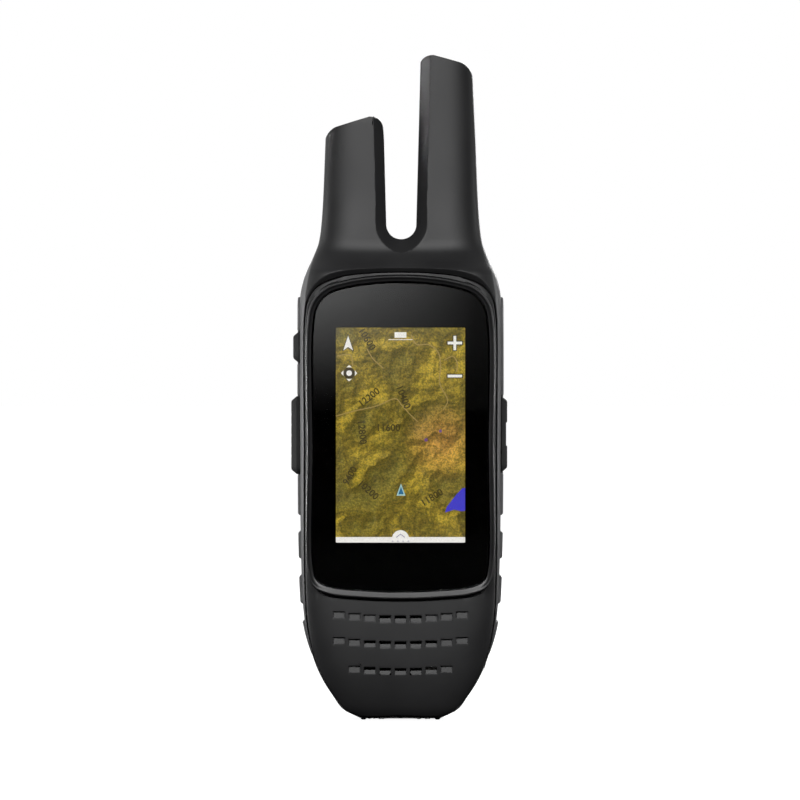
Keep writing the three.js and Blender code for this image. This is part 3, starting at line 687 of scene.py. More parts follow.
def gripSeat(side):
    deep = sidePrism(gripOutline(seam), side * 20, side * 40)
    return shaped(deep, ("DIFFERENCE", [hull(-grip["sunk"], bodyHeights[10:110])]))


def seamGroove():  # bevels the housing along the front panel, so that the seam lies in a shallow groove
    rim = mirroredOutline(panelEdge, 220)
    loops = []
    for grow in (-0.3, 0.35, 1.0, 1.6, 2.4, 4.0):
        loop = []
        for k, p in enumerate(rim):
            along = (rim[(k + 1) % len(rim)] - rim[k - 1]).normalized()
            at = p + Vector((along.y, -along.x)) * grow
            high = max(0.0, -along.x) ** 3
            deep = surfaceY(p.x, p.y) + mix(housing["seamDeep"], housing["seamDeepTop"], high)
            y = min(deep, housing["ledge"] - 0.4) - (grow - 0.35)
            loop.append(Vector((at.x, y if grow > 0 else y - 0.01, at.y)))
        loops.append(loop)
    return loft(bmesh.new(), loops)


def makeHousing():
    cuts = [loft(bmesh.new(), [cleftLoop(0, lambda z: -40), cleftLoop(0, lambda z: 40)]), cleftFlare(-1),
            cleftFlare(1)]
    cuts += [towerTop(t) for t in towers] + [seamGroove()]
    cuts.append(prism(mirroredOutline(panelEdge, 220, -seam), -40, housing["ledge"]))
    cuts.append(prism(mirroredOutline(panelEdge, 160, housing["cavityInset"]), -12, housing["cavityBack"]))
    cuts.append(block(-20, 20, -12, 9.4, 119.5, 133))
    cuts.append(prism(mirroredOutline(packEdge, 180, -seam), housing["bayFloor"], 40))
    cuts += [gripSeat(-1), gripSeat(1)]
    cuts += [rod("z", (-14.6, -0.4, 151), 5.6, 52), rod("z", (14.2, -0.6, 160.5), 4.4, 71)]
    cuts += [sidePrism(keyOutline(spec, seam), -40, -25) for spec in (talkKey, powerKey)]
    ports = roundedBox(keyY - 3.4, keyY + 3.4, portCap["low"] + 2.4, portCap["high"] - 1.6, 2)
    cuts.append(sidePrism(ports, 25, 40))
    cuts.append(rod("y", (camera["x"], 12.5, camera["z"]), camera["radius"] + seam, 15, 48))
    cuts.append(rod("y", (camera["flashX"], 12.5, camera["z"]), 3.1, 15, 36))
    for x, z in screws:
        seat = screwSeat(z)
        cuts += [rod("y", (x, 0, z), 1.2, 24, 16), rod("y", (x, seat + 5, z), 2.4, 10, 32)]
    cuts.append(block(-8, 8, -1, 5, 100, 106))
    return softened(shaped(hull(0), ("DIFFERENCE", cuts)), housing["edgeRound"], 34, 2, lambda e: e.is_convex)


blendPlastic = sparkErodedBlend()
bezelPlastic = satinBezelPlastic()
rubber = siliconeRubber("#1f1f20", "#272728")
steel = polishedSteel()
# the housing's grey sides are a painted highlight of the side light
finish(makeHousing(), "housingShell", blendWithPaintedRailHighlight(), replaces=["main_housing"])


# front panel with the speaker slots

frontPanel = {"back": -9.7, "proud": 0.9, "wall": 1.8, "recessFloor": -17.0, "groove": -15.9,
              "rimRound": 0.3, "slotRound": 0.12}
speakerSlot = {"wide": 3.5, "high": 2.0, "pitch": 4.7, "curl": 0.08,
               "open": (0.6, 0.3), "blind": (0.85, 0.3)}  # the step to the shelf, and how far it leans back
speakerRows = [(31.6, 4, 1), (23.7, 4, 2), (15.5, 3, 2)]
bezel = {"front": -20.0, "back": -17.35, "width": 2.1}


# the glass edge grown by outset, or by lip at the bottom
def bezelLoop(outset, y, lip=None, lipY=None, count=300):
    rim = mirroredOutline(glassEdge, count)
    loop = []
    for k, p in enumerate(rim):
        along = (rim[(k + 1) % count] - rim[k - 1]).normalized()
        out = Vector((along.y, -along.x))
        low = max(0.0, -out.y) ** 2
        at = p + out * mix(outset, outset if lip is None else lip, low)
        loop.append(Vector((at.x, mix(y, y if lipY is None else lipY, low), at.y)))
    return loop


def bezelPrism(outset, lip, y0, y1):
    return loft(bmesh.new(), [bezelLoop(outset, y0, lip), bezelLoop(outset, y1, lip)])


def slotCutter(x, z, isOpen):  # a slot with a shelf across its lower half that leans back a little
    front = surfaceY(x, z, -1, frontPanel["proud"])
    half, low, high = speakerSlot["wide"] / 2, z - speakerSlot["high"] / 2, z + speakerSlot["high"] / 2
    ahead, behind, shelf = front - 3, front + 5, z + 0.1
    step, ramp = speakerSlot["open" if isOpen else "blind"]
    near, far = front + step, front + step + ramp
    ending = [(far, shelf), (behind, shelf), (behind, high)] if isOpen else [(far, high)]
    side = [(ahead, low), (near, low), *ending, (ahead, high)]
    return sidePrism([Vector(p) for p in side], x - half, x + half)


def makePanel():
    heights = spreadOver((0.6, 34, 34), (34, 120, 30), (120, 140, 14))
    wall = frontPanel["wall"]
    inner = hull(-wall, spreadOver((4, 38.6, 20)))
    cuts = [
        bezelPrism(bezel["width"] + seam, 3.3, -40, frontPanel["recessFloor"]),
        shaped(bezelPrism(bezel["width"] + seam, 3.3, -40, frontPanel["groove"]),
               ("DIFFERENCE", [bezelPrism(1.5, 1.5, -50, 0)])),
        shaped(inner, ("INTERSECT", [prism(mirroredOutline(panelEdge, 160, wall), -40, 0)])),
        prism(roundedBox(-24.4, 24.4, 43.2, 130.4, 3), -40, 0),
    ]
    for z, reach, openReach in speakerRows:
        for i in range(-reach, reach + 1):
            cuts.append(slotCutter(i * speakerSlot["pitch"], z + speakerSlot["curl"] * i * i,
                                   abs(i) <= openReach))
    rim = prism(mirroredOutline(panelEdge, 220), -40, frontPanel["back"])
    bm = shaped(hull(frontPanel["proud"], heights), ("INTERSECT", [rim]), ("DIFFERENCE", cuts))
    inSlots = lambda e: abs(e.verts[0].co.x) < 22 and 12 < e.verts[0].co.z < 35
    rimEdge = lambda e: e.is_convex and -16.9 < e.verts[0].co.y < -10.4 and not inSlots(e)
    bm = softened(bm, frontPanel["rimRound"], 38, 3, rimEdge)
    outerEdge = lambda e: inSlots(e) and e.verts[0].co.y < surfaceY(*e.verts[0].co.xz, -1, 0.5)
    return softened(bm, frontPanel["slotRound"], 30, 2, outerEdge)


finish(makePanel(), "frontPanelShell", blendPlastic, replaces=["front_panel"])


# display stack

# outset and depth at the sides, where it is a bead, then along the bottom, where it is a broad lip
bezelProfile = [
    (0.35, -17.35, 0.35, -17.35), (0.35, -18.95, 0.35, -19.2), (0.45, -19.1, 0.45, -19.4),
    (0.95, -19.25, 0.9, -19.5),
    (1.15, -19.5, 1.35, -19.62), (1.32, -19.85, 1.8, -19.74), (1.55, -19.98, 2.1, -19.76),
    (1.8, -19.95, 2.25, -19.7),
    (2.0, -19.75, 2.35, -19.5), (2.1, -19.3, 2.4, -19.2),
]
glass = {"front": -18.9, "back": -17.5, "chamfer": 0.25}
screen = {"half": 19.75, "low": 55.0, "high": 120.7}
cell = {"half": 22.3, "low": 50.8, "high": 123.1, "front": -17.15, "back": -14.95}  # the liquid crystal panel
marks = {"front": -17.31, "back": -17.2, "haloBack": -17.17}


def skirtLoop(outset, lip):  # follows the panel, so that the ring's back edge meets it all round
    loop = bezelLoop(outset, 0, lip, 0)
    for p in loop:
        p.y = max(bezel["back"] + 0.05, surfaceY(p.x, p.z, -1, frontPanel["proud"]) - 0.15)
    return loop


def makeBezel():
    loops = [bezelLoop(out, y, lip, lipY) for out, y, lip, lipY in bezelProfile]
    loops += [skirtLoop(2.1, 2.4), skirtLoop(1.35, 1.35), bezelLoop(1.2, bezel["back"]), loops[0]]
    return loft(bmesh.new(), loops, ends=False)


def makeGlass():
    c = glass["chamfer"]
    edge = [(c, glass["front"]), (c * 0.3, glass["front"] + c * 0.3), (0, glass["front"] + c),
            (0, glass["back"] - c),
            (c, glass["back"])]
    return loft(bmesh.new(), [frontLoop(mirroredOutline(glassEdge, 240, inset), y) for inset, y in edge])


def makeInkBorder():
    plate = prism(mirroredOutline(glassEdge, 240, 0.15), -17.45, -17.35)
    window = prism(roundedBox(-screen["half"], screen["half"], screen["low"], screen["high"], 0.25, 3), -18,
                   -17)
    return shaped(plate, ("DIFFERENCE", [window]))


def makeDisplay():
    outline = roundedBox(-cell["half"], cell["half"], cell["low"], cell["high"], 0.8)
    return softened(prism(outline, cell["front"], cell["back"]), 0.15, 45, 2)


finish(makeBezel(), "bezelRing", bezelPlastic, replaces=["screen_bezel"])
finish(makeGlass(), "coverGlass", toughenedGlass(), replaces=["cover_glass"], smooth=12)
finish(makeInkBorder(), "inkBorder", blackInk())
finish(makeDisplay(), "litDisplay", litReliefMap(), replaces=["display_panel"])

whitePixels = litPixels("whitePixels", "#e4e2dc", "#f4f3ee")
darkPixels = litPixels("darkPixels", "#2b240f", "#3a3114")
lakePixels = litPixels("lakePixels", "#3430c0", "#3f3acb")
trailPixels = litPixels("trailPixels", "#957f45", "#a38b52")


def mark(points, front=marks["front"], back=marks["back"]):
    return prism([Vector(p) for p in points], front, back)


def disc(x, z, radius, front=marks["front"], back=marks["back"], sides=28):
    return rod("y", (x, (front + back) / 2, z), radius, back - front, sides)


def plate(x0, x1, z0, z1, grow=0.0, back=marks["back"]):
    front = marks["front"] if not grow else marks["front"] + 0.03
    return block(x0 - grow, x1 + grow, front, back, z0 - grow, z1 + grow)


def arrowHead(x, z, wide, high, notch, grow=0.0):
    return [(x, z + high / 2 + 1.6 * grow), (x - wide / 2 - grow, z - high / 2 - grow),
            (x, z - high / 2 + notch - grow), (x + wide / 2 + grow, z - high / 2 - grow)]


def ribbon(points, wide):  # a thin strip laid along a few points, for trails and chevrons
    knots = [Vector(p) for p in points]
    sides = [[], []]
    for k, p in enumerate(knots):
        along = (knots[min(k + 1, len(knots) - 1)] - knots[max(k - 1, 0)]).normalized()
        across = Vector((-along.y, along.x)) * wide / 2
        sides[0].append(p + across)
        sides[1].insert(0, p - across)
    return mark(sides[0] + sides[1], marks["front"] + 0.05, marks["haloBack"])


def smoothLine(points, steps=8):  # the same line with its corners turned into curves
    padded = [points[0], *points, points[-1]]
    out = []
    for a, b, c, d in zip(padded, padded[1:], padded[2:], padded[3:]):
        a, b, c, d = map(Vector, (a, b, c, d))
        for t in spread(0, 1, steps):
            out.append(0.5 * ((2 * b) + (c - a) * t + (2 * a - 5 * b + 4 * c - d) * t * t
                              + (3 * b - a - 3 * c + d) * t**3))
    return out + [Vector(points[-1])]


def number(text, x, z, angle, size=3.0):
    curve = bpy.data.curves.new("number", "FONT")
    curve.body = text
    curve.size = size
    curve.align_x = "CENTER"
    curve.align_y = "CENTER"
    curve.extrude = 0.04
    curve.offset = 0.06
    curve.resolution_u = 3
    words = bpy.data.objects.new("number", curve)
    scene.collection.objects.link(words)
    mesh = bpy.data.meshes.new_from_object(words.evaluated_get(bpy.context.evaluated_depsgraph_get()))
    bm = bmesh.new()
    bm.from_mesh(mesh)
    bpy.data.objects.remove(words)
    bpy.data.meshes.remove(mesh)
    bmesh.ops.remove_doubles(bm, verts=bm.verts, dist=1e-4)
    turn = Matrix.Rotation(math.pi / 2, 4, "X") @ Matrix.Rotation(math.radians(angle), 4, "Z")
    return placed(bm, Matrix.Translation((x, marks["front"] + 0.08, z)) @ turn)


stroke = {"reach": 2.2, "half": 0.42}  # of the plus and the minus
icons = {"arrow": (-16.0, 116.0), "pan": (-15.7, 106.8), "plus": (16.6, 116.0), "minus": (16.6, 105.9),
         "marker": (0.15, 71.2)}
heightNumbers = [  # made-up heights, each with its place and the angle that it is written at
    ("11600", -3.8, 90.0, 0), ("12200", -9.6, 99.3, 38), ("10400", 0.8, 99.5, -68),
    ("12800", -11.8, 88.8, -84),
    ("9400", -15.4, 75.4, 60), ("10200", -9.9, 71.1, -42), ("11800", 9.6, 68.7, 32),
    ("10600", -10.3, 117.2, -58),
]
trails = [
    [(3.2, 118.6), (4.9, 115.6), (8.6, 115.5), (11.6, 113.0), (12.2, 108.5), (12.0, 103.6), (14.4, 98.6),
     (13.0, 95.6)],
    [(-20.0, 93.6), (-14.2, 95.2), (-7.2, 96.8), (-1.8, 99.0), (0.4, 97.0), (2.8, 94.3), (5.2, 92.0)],
    [(-10.2, 114.2), (-8.6, 111.4), (-6.4, 109.3), (-5.2, 108.2)],
    [(-19.4, 112.0), (-15.4, 112.4), (-14.6, 108.9)],
    [(13.4, 110.8), (16.0, 111.9), (17.4, 109.6), (17.0, 107.2)],
]


def arrowPlusMinus(grow, arrowGrow, front, back):  # grown a little where they are a shadow
    parts = [mark(arrowHead(*icons["arrow"], 3.0, 4.6, 1.1, arrowGrow), front, back)]
    reach, half = stroke["reach"], stroke["half"]
    level = lambda x, z: plate(x - reach, x + reach, z - half, z + half, grow, back)
    x, z = icons["plus"]
    upright = plate(x - half, x + half, z - reach, z + reach, grow, back)
    parts.append(shaped(level(x, z), ("UNION", [upright])))
    parts.append(level(*icons["minus"]))
    return parts


def makeWhiteMarks():
    parts = arrowPlusMinus(0.0, 0.0, marks["front"], marks["back"])
    x, z = icons["pan"]
    parts.append(disc(x, z, 0.85))
    for turn in range(4):
        c, s = round(math.cos(turn * math.pi / 2)), round(math.sin(turn * math.pi / 2))
        tip = [(2.5, 0), (1.75, 0.85), (1.75, -0.85)]
        parts.append(mark([(x + c * a - s * b, z + s * a + c * b) for a, b in tip]))
    parts += [plate(-1.8, 1.8, 117.6, 119.3), plate(-3.65, 3.65, 116.95, 117.15)]
    parts.append(shaped(plate(-20.3, 20.3, 54.5, 56.7), ("UNION", [disc(0, 56.2, 2.6, sides=48)])))
    return joined(parts)


def makeDarkMarks():
    front, back = marks["front"] + 0.03, marks["haloBack"]
    return joined(arrowPlusMinus(0.3, 0.35, front, back) + [disc(*icons["pan"], 1.75, front, back)])


finish(makeWhiteMarks(), "whiteSymbols", whitePixels)
finish(makeDarkMarks(), "symbolShadows", darkPixels)
finish(joined([number(*row) for row in heightNumbers]), "mapNumbers", darkPixels)
finish(joined([number("20", 0, 118.4, 0, 1.9)]), "scaleNumber", darkPixels)
finish(joined([ribbon(smoothLine(line), 0.32) for line in trails]), "mapTrails", trailPixels)
shore = [(13.6, 64.2), (14.2, 66.0), (15.6, 67.8), (17.2, 69.8), (18.9, 71.6), (20.4, 71.8), (20.4, 64.8),
         (18.6, 64.6), (16.4, 65.1)]
finish(mark(shore, marks["front"] + 0.06, marks["haloBack"]), "mapLake", lakePixels)
markerX, markerZ = icons["marker"]
edgePixels = litPixels("markerEdgePixels", "#9cc6c8", "#aed3d4")
finish(mark(arrowHead(markerX, markerZ, 2.7, 3.7, 0.0)), "markerEdge", edgePixels)
corePixels = litPixels("markerPixels", "#1c5d86", "#1f6a96")
finish(mark(arrowHead(markerX, markerZ - 0.25, 1.7, 2.4, 0.0), marks["front"] - 0.03,
            marks["front"] - 0.005), "markerCore",
       corePixels)
hutPixels = litPixels("hutPixels", "#5f3a86", "#6d4494")
finish(joined([disc(7.8, 86.4, 0.55, sides=6), disc(12.2, 89.1, 0.5, sides=6)]), "mapHuts", hutPixels)
greyPixels = litPixels("greyPixels", "#8f8ba0", "#a09cb0")
chevron = ribbon([(-1.3, 56.6), (0, 57.6), (1.3, 56.6)], 0.28)
dots = [disc(x, 55.4, 0.22, marks["front"] - 0.03, marks["front"] - 0.005, 10)
        for x in (-2.4, -0.8, 0.8, 2.4)]
finish(joined([placed(chevron, Matrix.Translation((0, -0.09, 0))), *dots]), "barSymbols", greyPixels)
print("display ready")


# rubber grips

gripNotches = [(60.6, 5.8), (47.1, 6.0), (33.0, 6.2)]  # height and how tall
gripDetail = {"edgeRound": 0.28, "flare": 0.6, "floor": -0.05}
gripHeights = spreadOver((16, 134, 118))


def gripSkin(z):  # how far a grip stands proud; its lower end runs out into the housing
    return mix(0.1, grip["proud"], min(1.0, max(0.0, (z - 20) / 12)))


def notchCutter(side, z, high):  # a level-floored notch whose ends slope outwards
    half = stationAt(z)[0]
    short, long = high / 2 - 0.35, high / 2 + gripDetail["flare"]
    right = [(half - 4, z - short), (half + 0.1, z - short), (half + 1.4, z - long), (40, z - long),
             (40, z + long), (half + 1.4, z + long), (half + 0.1, z + short), (half - 4, z + short)]
    cutter = prism([Vector((side * x, h)) for x, h in right], -20, 20)
    return shaped(cutter, ("DIFFERENCE", [hull(gripDetail["floor"], gripHeights)]))


def keyNotch(spec, x0, x1):  # room for a key, open to the front of the grip
    back = keyY + spec["deep"] / 2 + seam
    return sidePrism(roundedBox(-20, back, spec["low"] - seam, spec["high"] + seam, 2.4), x0, x1)


def makeGrip(side):
    pad = sidePrism(gripOutline(0), side * 20, side * 40)
    cuts = [hull(seam - grip["sunk"], gripHeights)]
    cuts += [notchCutter(side, z, high) for z, high in gripNotches]
    if side < 0:
        cuts += [keyNotch(spec, -40, -20) for spec in (talkKey, powerKey)]
    else:
        cuts.append(keyNotch(portCap, 20, 40))
    bm = shaped(pad, ("INTERSECT", [loft(bmesh.new(), [hullLoop(z, gripSkin(z)) for z in gripHeights])]),
                ("DIFFERENCE", cuts))
    outside = lambda e: all(beyondHull(v.co, 0.4) for v in e.verts)
    return softened(bm, gripDetail["edgeRound"], 34, 3, outside)


# the light grey of the grips is a painted highlight standing in for the side light that they catch
gripRubberPaintedHighlight = siliconeRubber("#757576", "#7f7f80")
finish(makeGrip(-1), "leftGripPad", gripRubberPaintedHighlight, replaces=["left_grip"])
finish(makeGrip(1), "rightGripPad", gripRubberPaintedHighlight, replaces=["right_grip"])


# keys and port cap

keyShape = {"innerX": -27.0, "flange": 0.9, "flangeThick": 0.6, "dish": 0.25}
edgeSteps = [(1.85, 0), (1.6, 0.1), (0.3, 1.2), (0.08, 1.5), (0, 2.0)]  # how far below the face, how far in


def sideCap(spec, seat, side, flange=0.0):  # a cap pushed out of the side wall, with a rounded outer edge
    face = spec["face"]
    loops = [sideLoop(keyOutline(spec, 0), seat)]
    loops += [sideLoop(keyOutline(spec, -inset, 2.4), face - side * below) for below, inset in edgeSteps]
    cap = loft(bmesh.new(), loops)
    if flange:
        back = keyShape["innerX"] + keyShape["flangeThick"]
        skirt = sidePrism(keyOutline(spec, flange), keyShape["innerX"] - 0.3, back)
        return shaped(cap, ("UNION", [skirt]))
    return cap


def makeTalkKey():
    middle = (talkKey["low"] + talkKey["high"]) / 2
    bars = []
    for k in range(-2, 3):
        high = middle + k * 3.2
        x = talkKey["face"] + keyShape["dish"]
        bars.append(sidePrism(roundedBox(keyY - 2.0, keyY + 2.0, high - 0.5, high + 0.5, 0.45, 4), x - 3, x))
    bm = shaped(sideCap(talkKey, keyShape["innerX"], -1, keyShape["flange"]), ("DIFFERENCE", bars))
    return softened(bm, 0.1, 50, 2)


def makePowerKey():
    middle = (powerKey["low"] + powerKey["high"]) / 2
    x = powerKey["face"] + keyShape["dish"]
    ring = shaped(rod("x", (x - 1.5, keyY, middle), 1.9, 3, 40),
                  ("DIFFERENCE", [rod("x", (x, keyY, middle), 1.4, 8, 40)]))
    bm = shaped(sideCap(powerKey, keyShape["innerX"], -1, keyShape["flange"]), ("DIFFERENCE", [ring]))
    return softened(bm, 0.08, 50, 2)


def makePortCap():
    bm = sideCap(portCap, portCap["seat"] + 0.05, 1)
    face = portCap["face"]
    waist = [(face - 0.35, 84.6), (face - 0.35, 91.6), (face + 1, 92.6), (face + 1, 83.6)]
    ribs = [sidePrism(roundedBox(keyY - 2.5, keyY + 2.5, z - 0.3, z + 0.3, 0.28, 4), face - 0.25,
                      face + 1) for z in (94.4, 95.8, 97.2)]
    plugs = [sidePrism(roundedBox(keyY - 2.6, keyY + 1.0, 90.2, 95.4, 1.2), 29.9, portCap["seat"] + 0.6),
             rod("x", (30.4, -6.15, 82.9), 1.1, 2.2, 24)]
    bm = shaped(bm, ("DIFFERENCE", [prism([Vector(p) for p in waist], -20, 20), *ribs]), ("UNION", plugs))
    return softened(bm, 0.14, 40, 2)


finish(makeTalkKey(), "talkKeyCap", rubber, "talk_key", ["talk_key"])
finish(makePowerKey(), "powerKeyCap", rubber, "power_key", ["power_key"])
finish(makePortCap(), "portCover", rubber, "port_cap", ["port_cap"])
print("sides ready")


# battery pack, belt clip rail and latch

pack = {"front": 4.2, "back": 16.6, "wall": 2.0}
packSteps = [(0, 4.2), (0, 14.3), (0.22, 15.2), (0.75, 15.95), (1.55, 16.42), (2.6, 16.6)]  # inset and depth
latch = {"z": 38, "recess": 12.6, "floor": 12.9, "post": 3.4, "head": 4.9, "pivotY": 15.1, "rod": 1.05,
         "reach": 8.6}
rail = {"low": 58, "high": 106, "neck": 4.6, "flange": 7.0, "neckBack": 18.4, "back": 20.9}


def flatTube(path, y, radius, sides=20):  # a round bar bent along a closed path that lies flat at depth y
    loops = []
    for k, p in enumerate(path):
        along = (path[(k + 1) % len(path)] - path[k - 1]).normalized()
        side = Vector((-along.y, 0, along.x)) * radius
        turn = [math.tau * j / sides for j in range(sides)]
        middle = Vector((p.x, y, p.y))
        loops.append([middle + side * math.cos(a) + Vector((0, radius * math.sin(a), 0)) for a in turn])
    return loft(bmesh.new(), loops + loops[:1], ends=False)


def makePackShell():
    z, floor = latch["z"], latch["floor"]
    bm = loft(bmesh.new(), [frontLoop(mirroredOutline(packEdge, 240, inset), y) for inset, y in packSteps])
    hollow = prism(mirroredOutline(packEdge, 200, pack["wall"]), 0, pack["back"] - pack["wall"])
    well = rod("y", (0, 15, z), latch["recess"] + 1.6, 30, 72)
    cuts = [shaped(hollow, ("DIFFERENCE", [well])), rod("y", (0, floor + 10, z), latch["recess"], 20, 72),
            rod("y", (0, 0, z), latch["recess"] - 1.6, 2 * (floor - pack["wall"]), 56),
            rod("y", (0, 15, z), latch["post"] + seam, 30, 36)]
    # room for a fingertip under the pull
    scoop = rod("y", (0, pack["back"] + 0.2, z - 13.4), 3.4, 4.4, 40, tip=5.0)
    cuts.append(scoop)
    for x in (-19.2, 19.2):
        for k in range(7):
            high = 70.2 + 4.5 * k
            cuts.append(prism(roundedBox(x - 3.2, x + 3.2, high - 0.65, high + 0.65, 0.6, 5),
                              pack["back"] - 0.45, 30))
    bm = shaped(bm, ("DIFFERENCE", cuts))
    return softened(bm, 0.2, 42, 2, lambda e: e.verts[0].co.y > 12)


def makeRail():
    low, high, half = rail["low"], rail["high"], rail["flange"]
    steps = [(0.3, 18.4), (0, 18.7), (0, 20.1), (0.2, 20.6), (0.6, 20.85), (0.9, 20.9)]
    top = loft(bmesh.new(), [frontLoop(roundedBox(inset - half, half - inset, low + inset, high - inset,
                                                  2.5 - inset), y)
                             for inset, y in steps])
    neck = block(-rail["neck"], rail["neck"], pack["back"] + 0.3, rail["neckBack"] + 0.3, low + 1, high - 1)
    cuts = [rod("y", (0, 20, z), 1.75, 2.0, 36, tip=2.3) for z in (65, 99)]
    # detent groove that the clip's spring drops into
    cuts.append(block(-half - 1, half + 1, 20.0, 22, 91.5, 92.7))
    bm = shaped(top, ("UNION", [neck]), ("DIFFERENCE", cuts))
    return softened(bm, 0.15, 45, 2)


def makeLatchPost():
    z, post = latch["z"], latch["post"]
    profile = [(0, 3.0), (post, 3.0), (post, 13.2), (4.6, 13.25), (latch["head"], 13.4),
               (latch["head"], 13.65), (4.7, 13.8), (0, 13.8)]
    bm = placed(turned(profile, 56), Matrix.Translation((0, 0, z)) @ turns["y"])
    ear = roundedBox(11.0, latch["pivotY"] + 1.9, z - 2, z + 2, 1.8)
    tongue = prism(roundedBox(-5.8, 5.8, z - 1.9, z + 1.9, 1.4), 3.1, 4.5)
    hole = rod("x", (0, latch["pivotY"], z), latch["rod"] + 0.25, 20, 32)
    bm = shaped(bm, ("UNION", [sidePrism(ear, -1.6, 1.6), tongue]), ("DIFFERENCE", [hole]))
    return softened(bm, 0.18, 45, 2)


def makeLatchRing():
    reach, z = latch["reach"], latch["z"]
    bowEnds = [(reach * math.cos(a), z - 2.4 - 7.4 * math.sin(a)) for a in spreadOver((0, math.pi, 40))]
    corner = lambda side: [(side * (reach - 1.4 * (1 - math.sin(a))),
                            z - 1.4 * (1 - math.cos(a))) for a in spread(0, math.pi / 2, 6)]
    path = [Vector(p) for p in bowEnds + corner(-1)[::-1] + corner(1)]
    return flatTube(evenly(path, 110), latch["pivotY"], latch["rod"])


finish(makePackShell(), "packShell", blendPlastic, "battery", ["battery_shell"])
finish(makeRail(), "clipRail", blendPlastic, "battery", ["spine_rail"])
finish(makeLatchPost(), "latchPin", steel, "latch", ["latch_post"])
finish(makeLatchRing(), "pullRing", steel, "latch_ring", ["latch_ring"])


# camera, flash, fasteners and feet

def onBack(profile, x, z, sides=64):  # a turned piece whose axis lies along y
    return placed(turned(profile, sides), Matrix.Translation((x, 0, z)) @ turns["y"])


def closedRing(profile, x, z, sides=72):  # the same for a ring, whose profile closes on itself
    loops = [[Vector((x + r * math.cos(a), y, z + r * math.sin(a))) for a in spread(0, math.tau, sides)]
             for r, y in profile + profile[:1]]
    return loft(bmesh.new(), loops, ends=False)


backY = surfaceY(camera["x"], camera["z"], 1)
trimProfile = [(5.4, backY - 3.9), (5.4, backY + 0.3), (5.25, backY + 0.52), (4.95, backY + 0.6),
               (4.6, backY + 0.55),
               (4.35, backY + 0.3), (4.1, backY - 0.4), (3.9, backY - 0.6), (3.9, backY - 3.9)]
lensProfile = [(0, backY - 1.2), (3.55, backY - 1.2), (3.6, backY - 0.9), (3.55, backY - 0.55),
               (2.6, backY - 0.35), (1.3, backY - 0.24), (0, backY - 0.2)]
flashProfile = [(0, backY - 3), (2.7, backY - 3), (2.75, backY - 0.4), (2.5, backY - 0.12)]
flashProfile += [(r, backY - (0.12 if k % 2 else 0.3)) for k,
                 r in enumerate([2.1, 1.8, 1.5, 1.2, 0.9, 0.6])] + [(0, backY - 0.14)]
lensGlass = coatedLensGlass()
finish(closedRing(trimProfile, camera["x"], camera["z"]), "cameraBezel", bezelPlastic,
       replaces=["camera_trim"])
finish(onBack(lensProfile, camera["x"], camera["z"]), "cameraLens", lensGlass,
       replaces=["camera_window"])
finish(onBack(flashProfile, camera["flashX"], camera["z"]), "flashLens", frostedDiffuser(),
       replaces=["flash_window"])

screwSteel = blackenedSteel()


def makeScrew(x, z):
    seat = screwSeat(z)
    profile = [(0, -8.1), (0.75, -8.1), (0.85, -7.8), (0.85, seat + 0.3), (1.8, seat + 0.3),
               (2.0, seat + 0.55),
               (2.0, seat + 1.0), (1.85, seat + 1.35), (1.4, seat + 1.6), (0, seat + 1.7)]
    cross = [block(x - 1.15, x + 1.15, seat + 0.9, seat + 3, z - 0.24, z + 0.24),
             block(x - 0.24, x + 0.24, seat + 0.9, seat + 3, z - 1.15, z + 1.15)]
    return shaped(onBack(profile, x, z, 28), ("DIFFERENCE", cross))


for k, (x, z) in enumerate(screws):
    finish(makeScrew(x, z), f"housingScrew{k + 1}", screwSteel,
           replaces=[f"case_screw_{k + 1}"])

foot = {"x": 11.4, "top": 0.9, "tip": 0.5, "half": 0.9, "front": -6.5, "back": 7.0}


def makeFoot(side):  # a narrow runner that tapers to the ground
    x, front, back = side * foot["x"], foot["front"], foot["back"]
    bm = bmesh.new()
    base = [(foot["half"], 0.55, 0.0), (foot["half"], 0.35, 0.0), (foot["tip"] + 0.15, 0.08, 0.25),
            (foot["tip"], 0.0, 0.4)]
    loops = [[Vector((p.x, p.y, z)) for p in roundedBox(x - half, x + half, front + inset, back - inset,
                                                        half * 0.9, 5)]
             for half, z, inset in reversed(base)]
    return loft(bm, loops)


finish(makeFoot(-1), "leftFootRunner", rubber, replaces=["left_foot"])
finish(makeFoot(1), "rightFootRunner", rubber, replaces=["right_foot"])
print("back ready")


# better materials for the inner pieces, whose shapes stay

innerFinishes = [
    (rubber, ["case_seal", "battery_seal"]),
    (stampedNickelSilver(), ["display_frame", "speaker_driver", "microphone", "shield_can", "talk_switch",
                             "power_switch",
                             "usb_socket", "card_slot"]),
    (acousticMesh(), ["speaker_mesh"]),
    (solderMask(), ["main_board"]),
    (firedCeramic(), ["position_antenna"]),
    (hardGoldPlate(), ["radio_antenna", "battery_terminals", "battery_contacts"]),
    (mouldedNylon(), ["headset_socket", "camera_module", "battery_plate"]),
    (shrinkFilm(), ["battery_cell_left", "battery_cell_right"]),
]
for finishMaterial, names in innerFinishes:
    for name in names:
        nodes[name].data.materials.clear()
        nodes[name].data.materials.append(finishMaterial)
print("inner pieces dressed")


# camera, floor and lights

view = {"place": (-0.000155, -1.25, 0.09858), "frameWidth": 0.248, "sensor": 36.0}
cameraData = bpy.data.cameras.new("camera")
cameraData.sensor_width = view["sensor"]
cameraData.lens = view["sensor"] * -view["place"][1] / view["frameWidth"]
cameraData.clip_start = 0.01
cameraObject = bpy.data.objects.new("camera", cameraData)
cameraObject.location = view["place"]
cameraObject.rotation_euler = (math.pi / 2, 0, 0)
scene.collection.objects.link(cameraObject)
scene.camera = cameraObject
scene.view_settings.view_transform = "Standard"


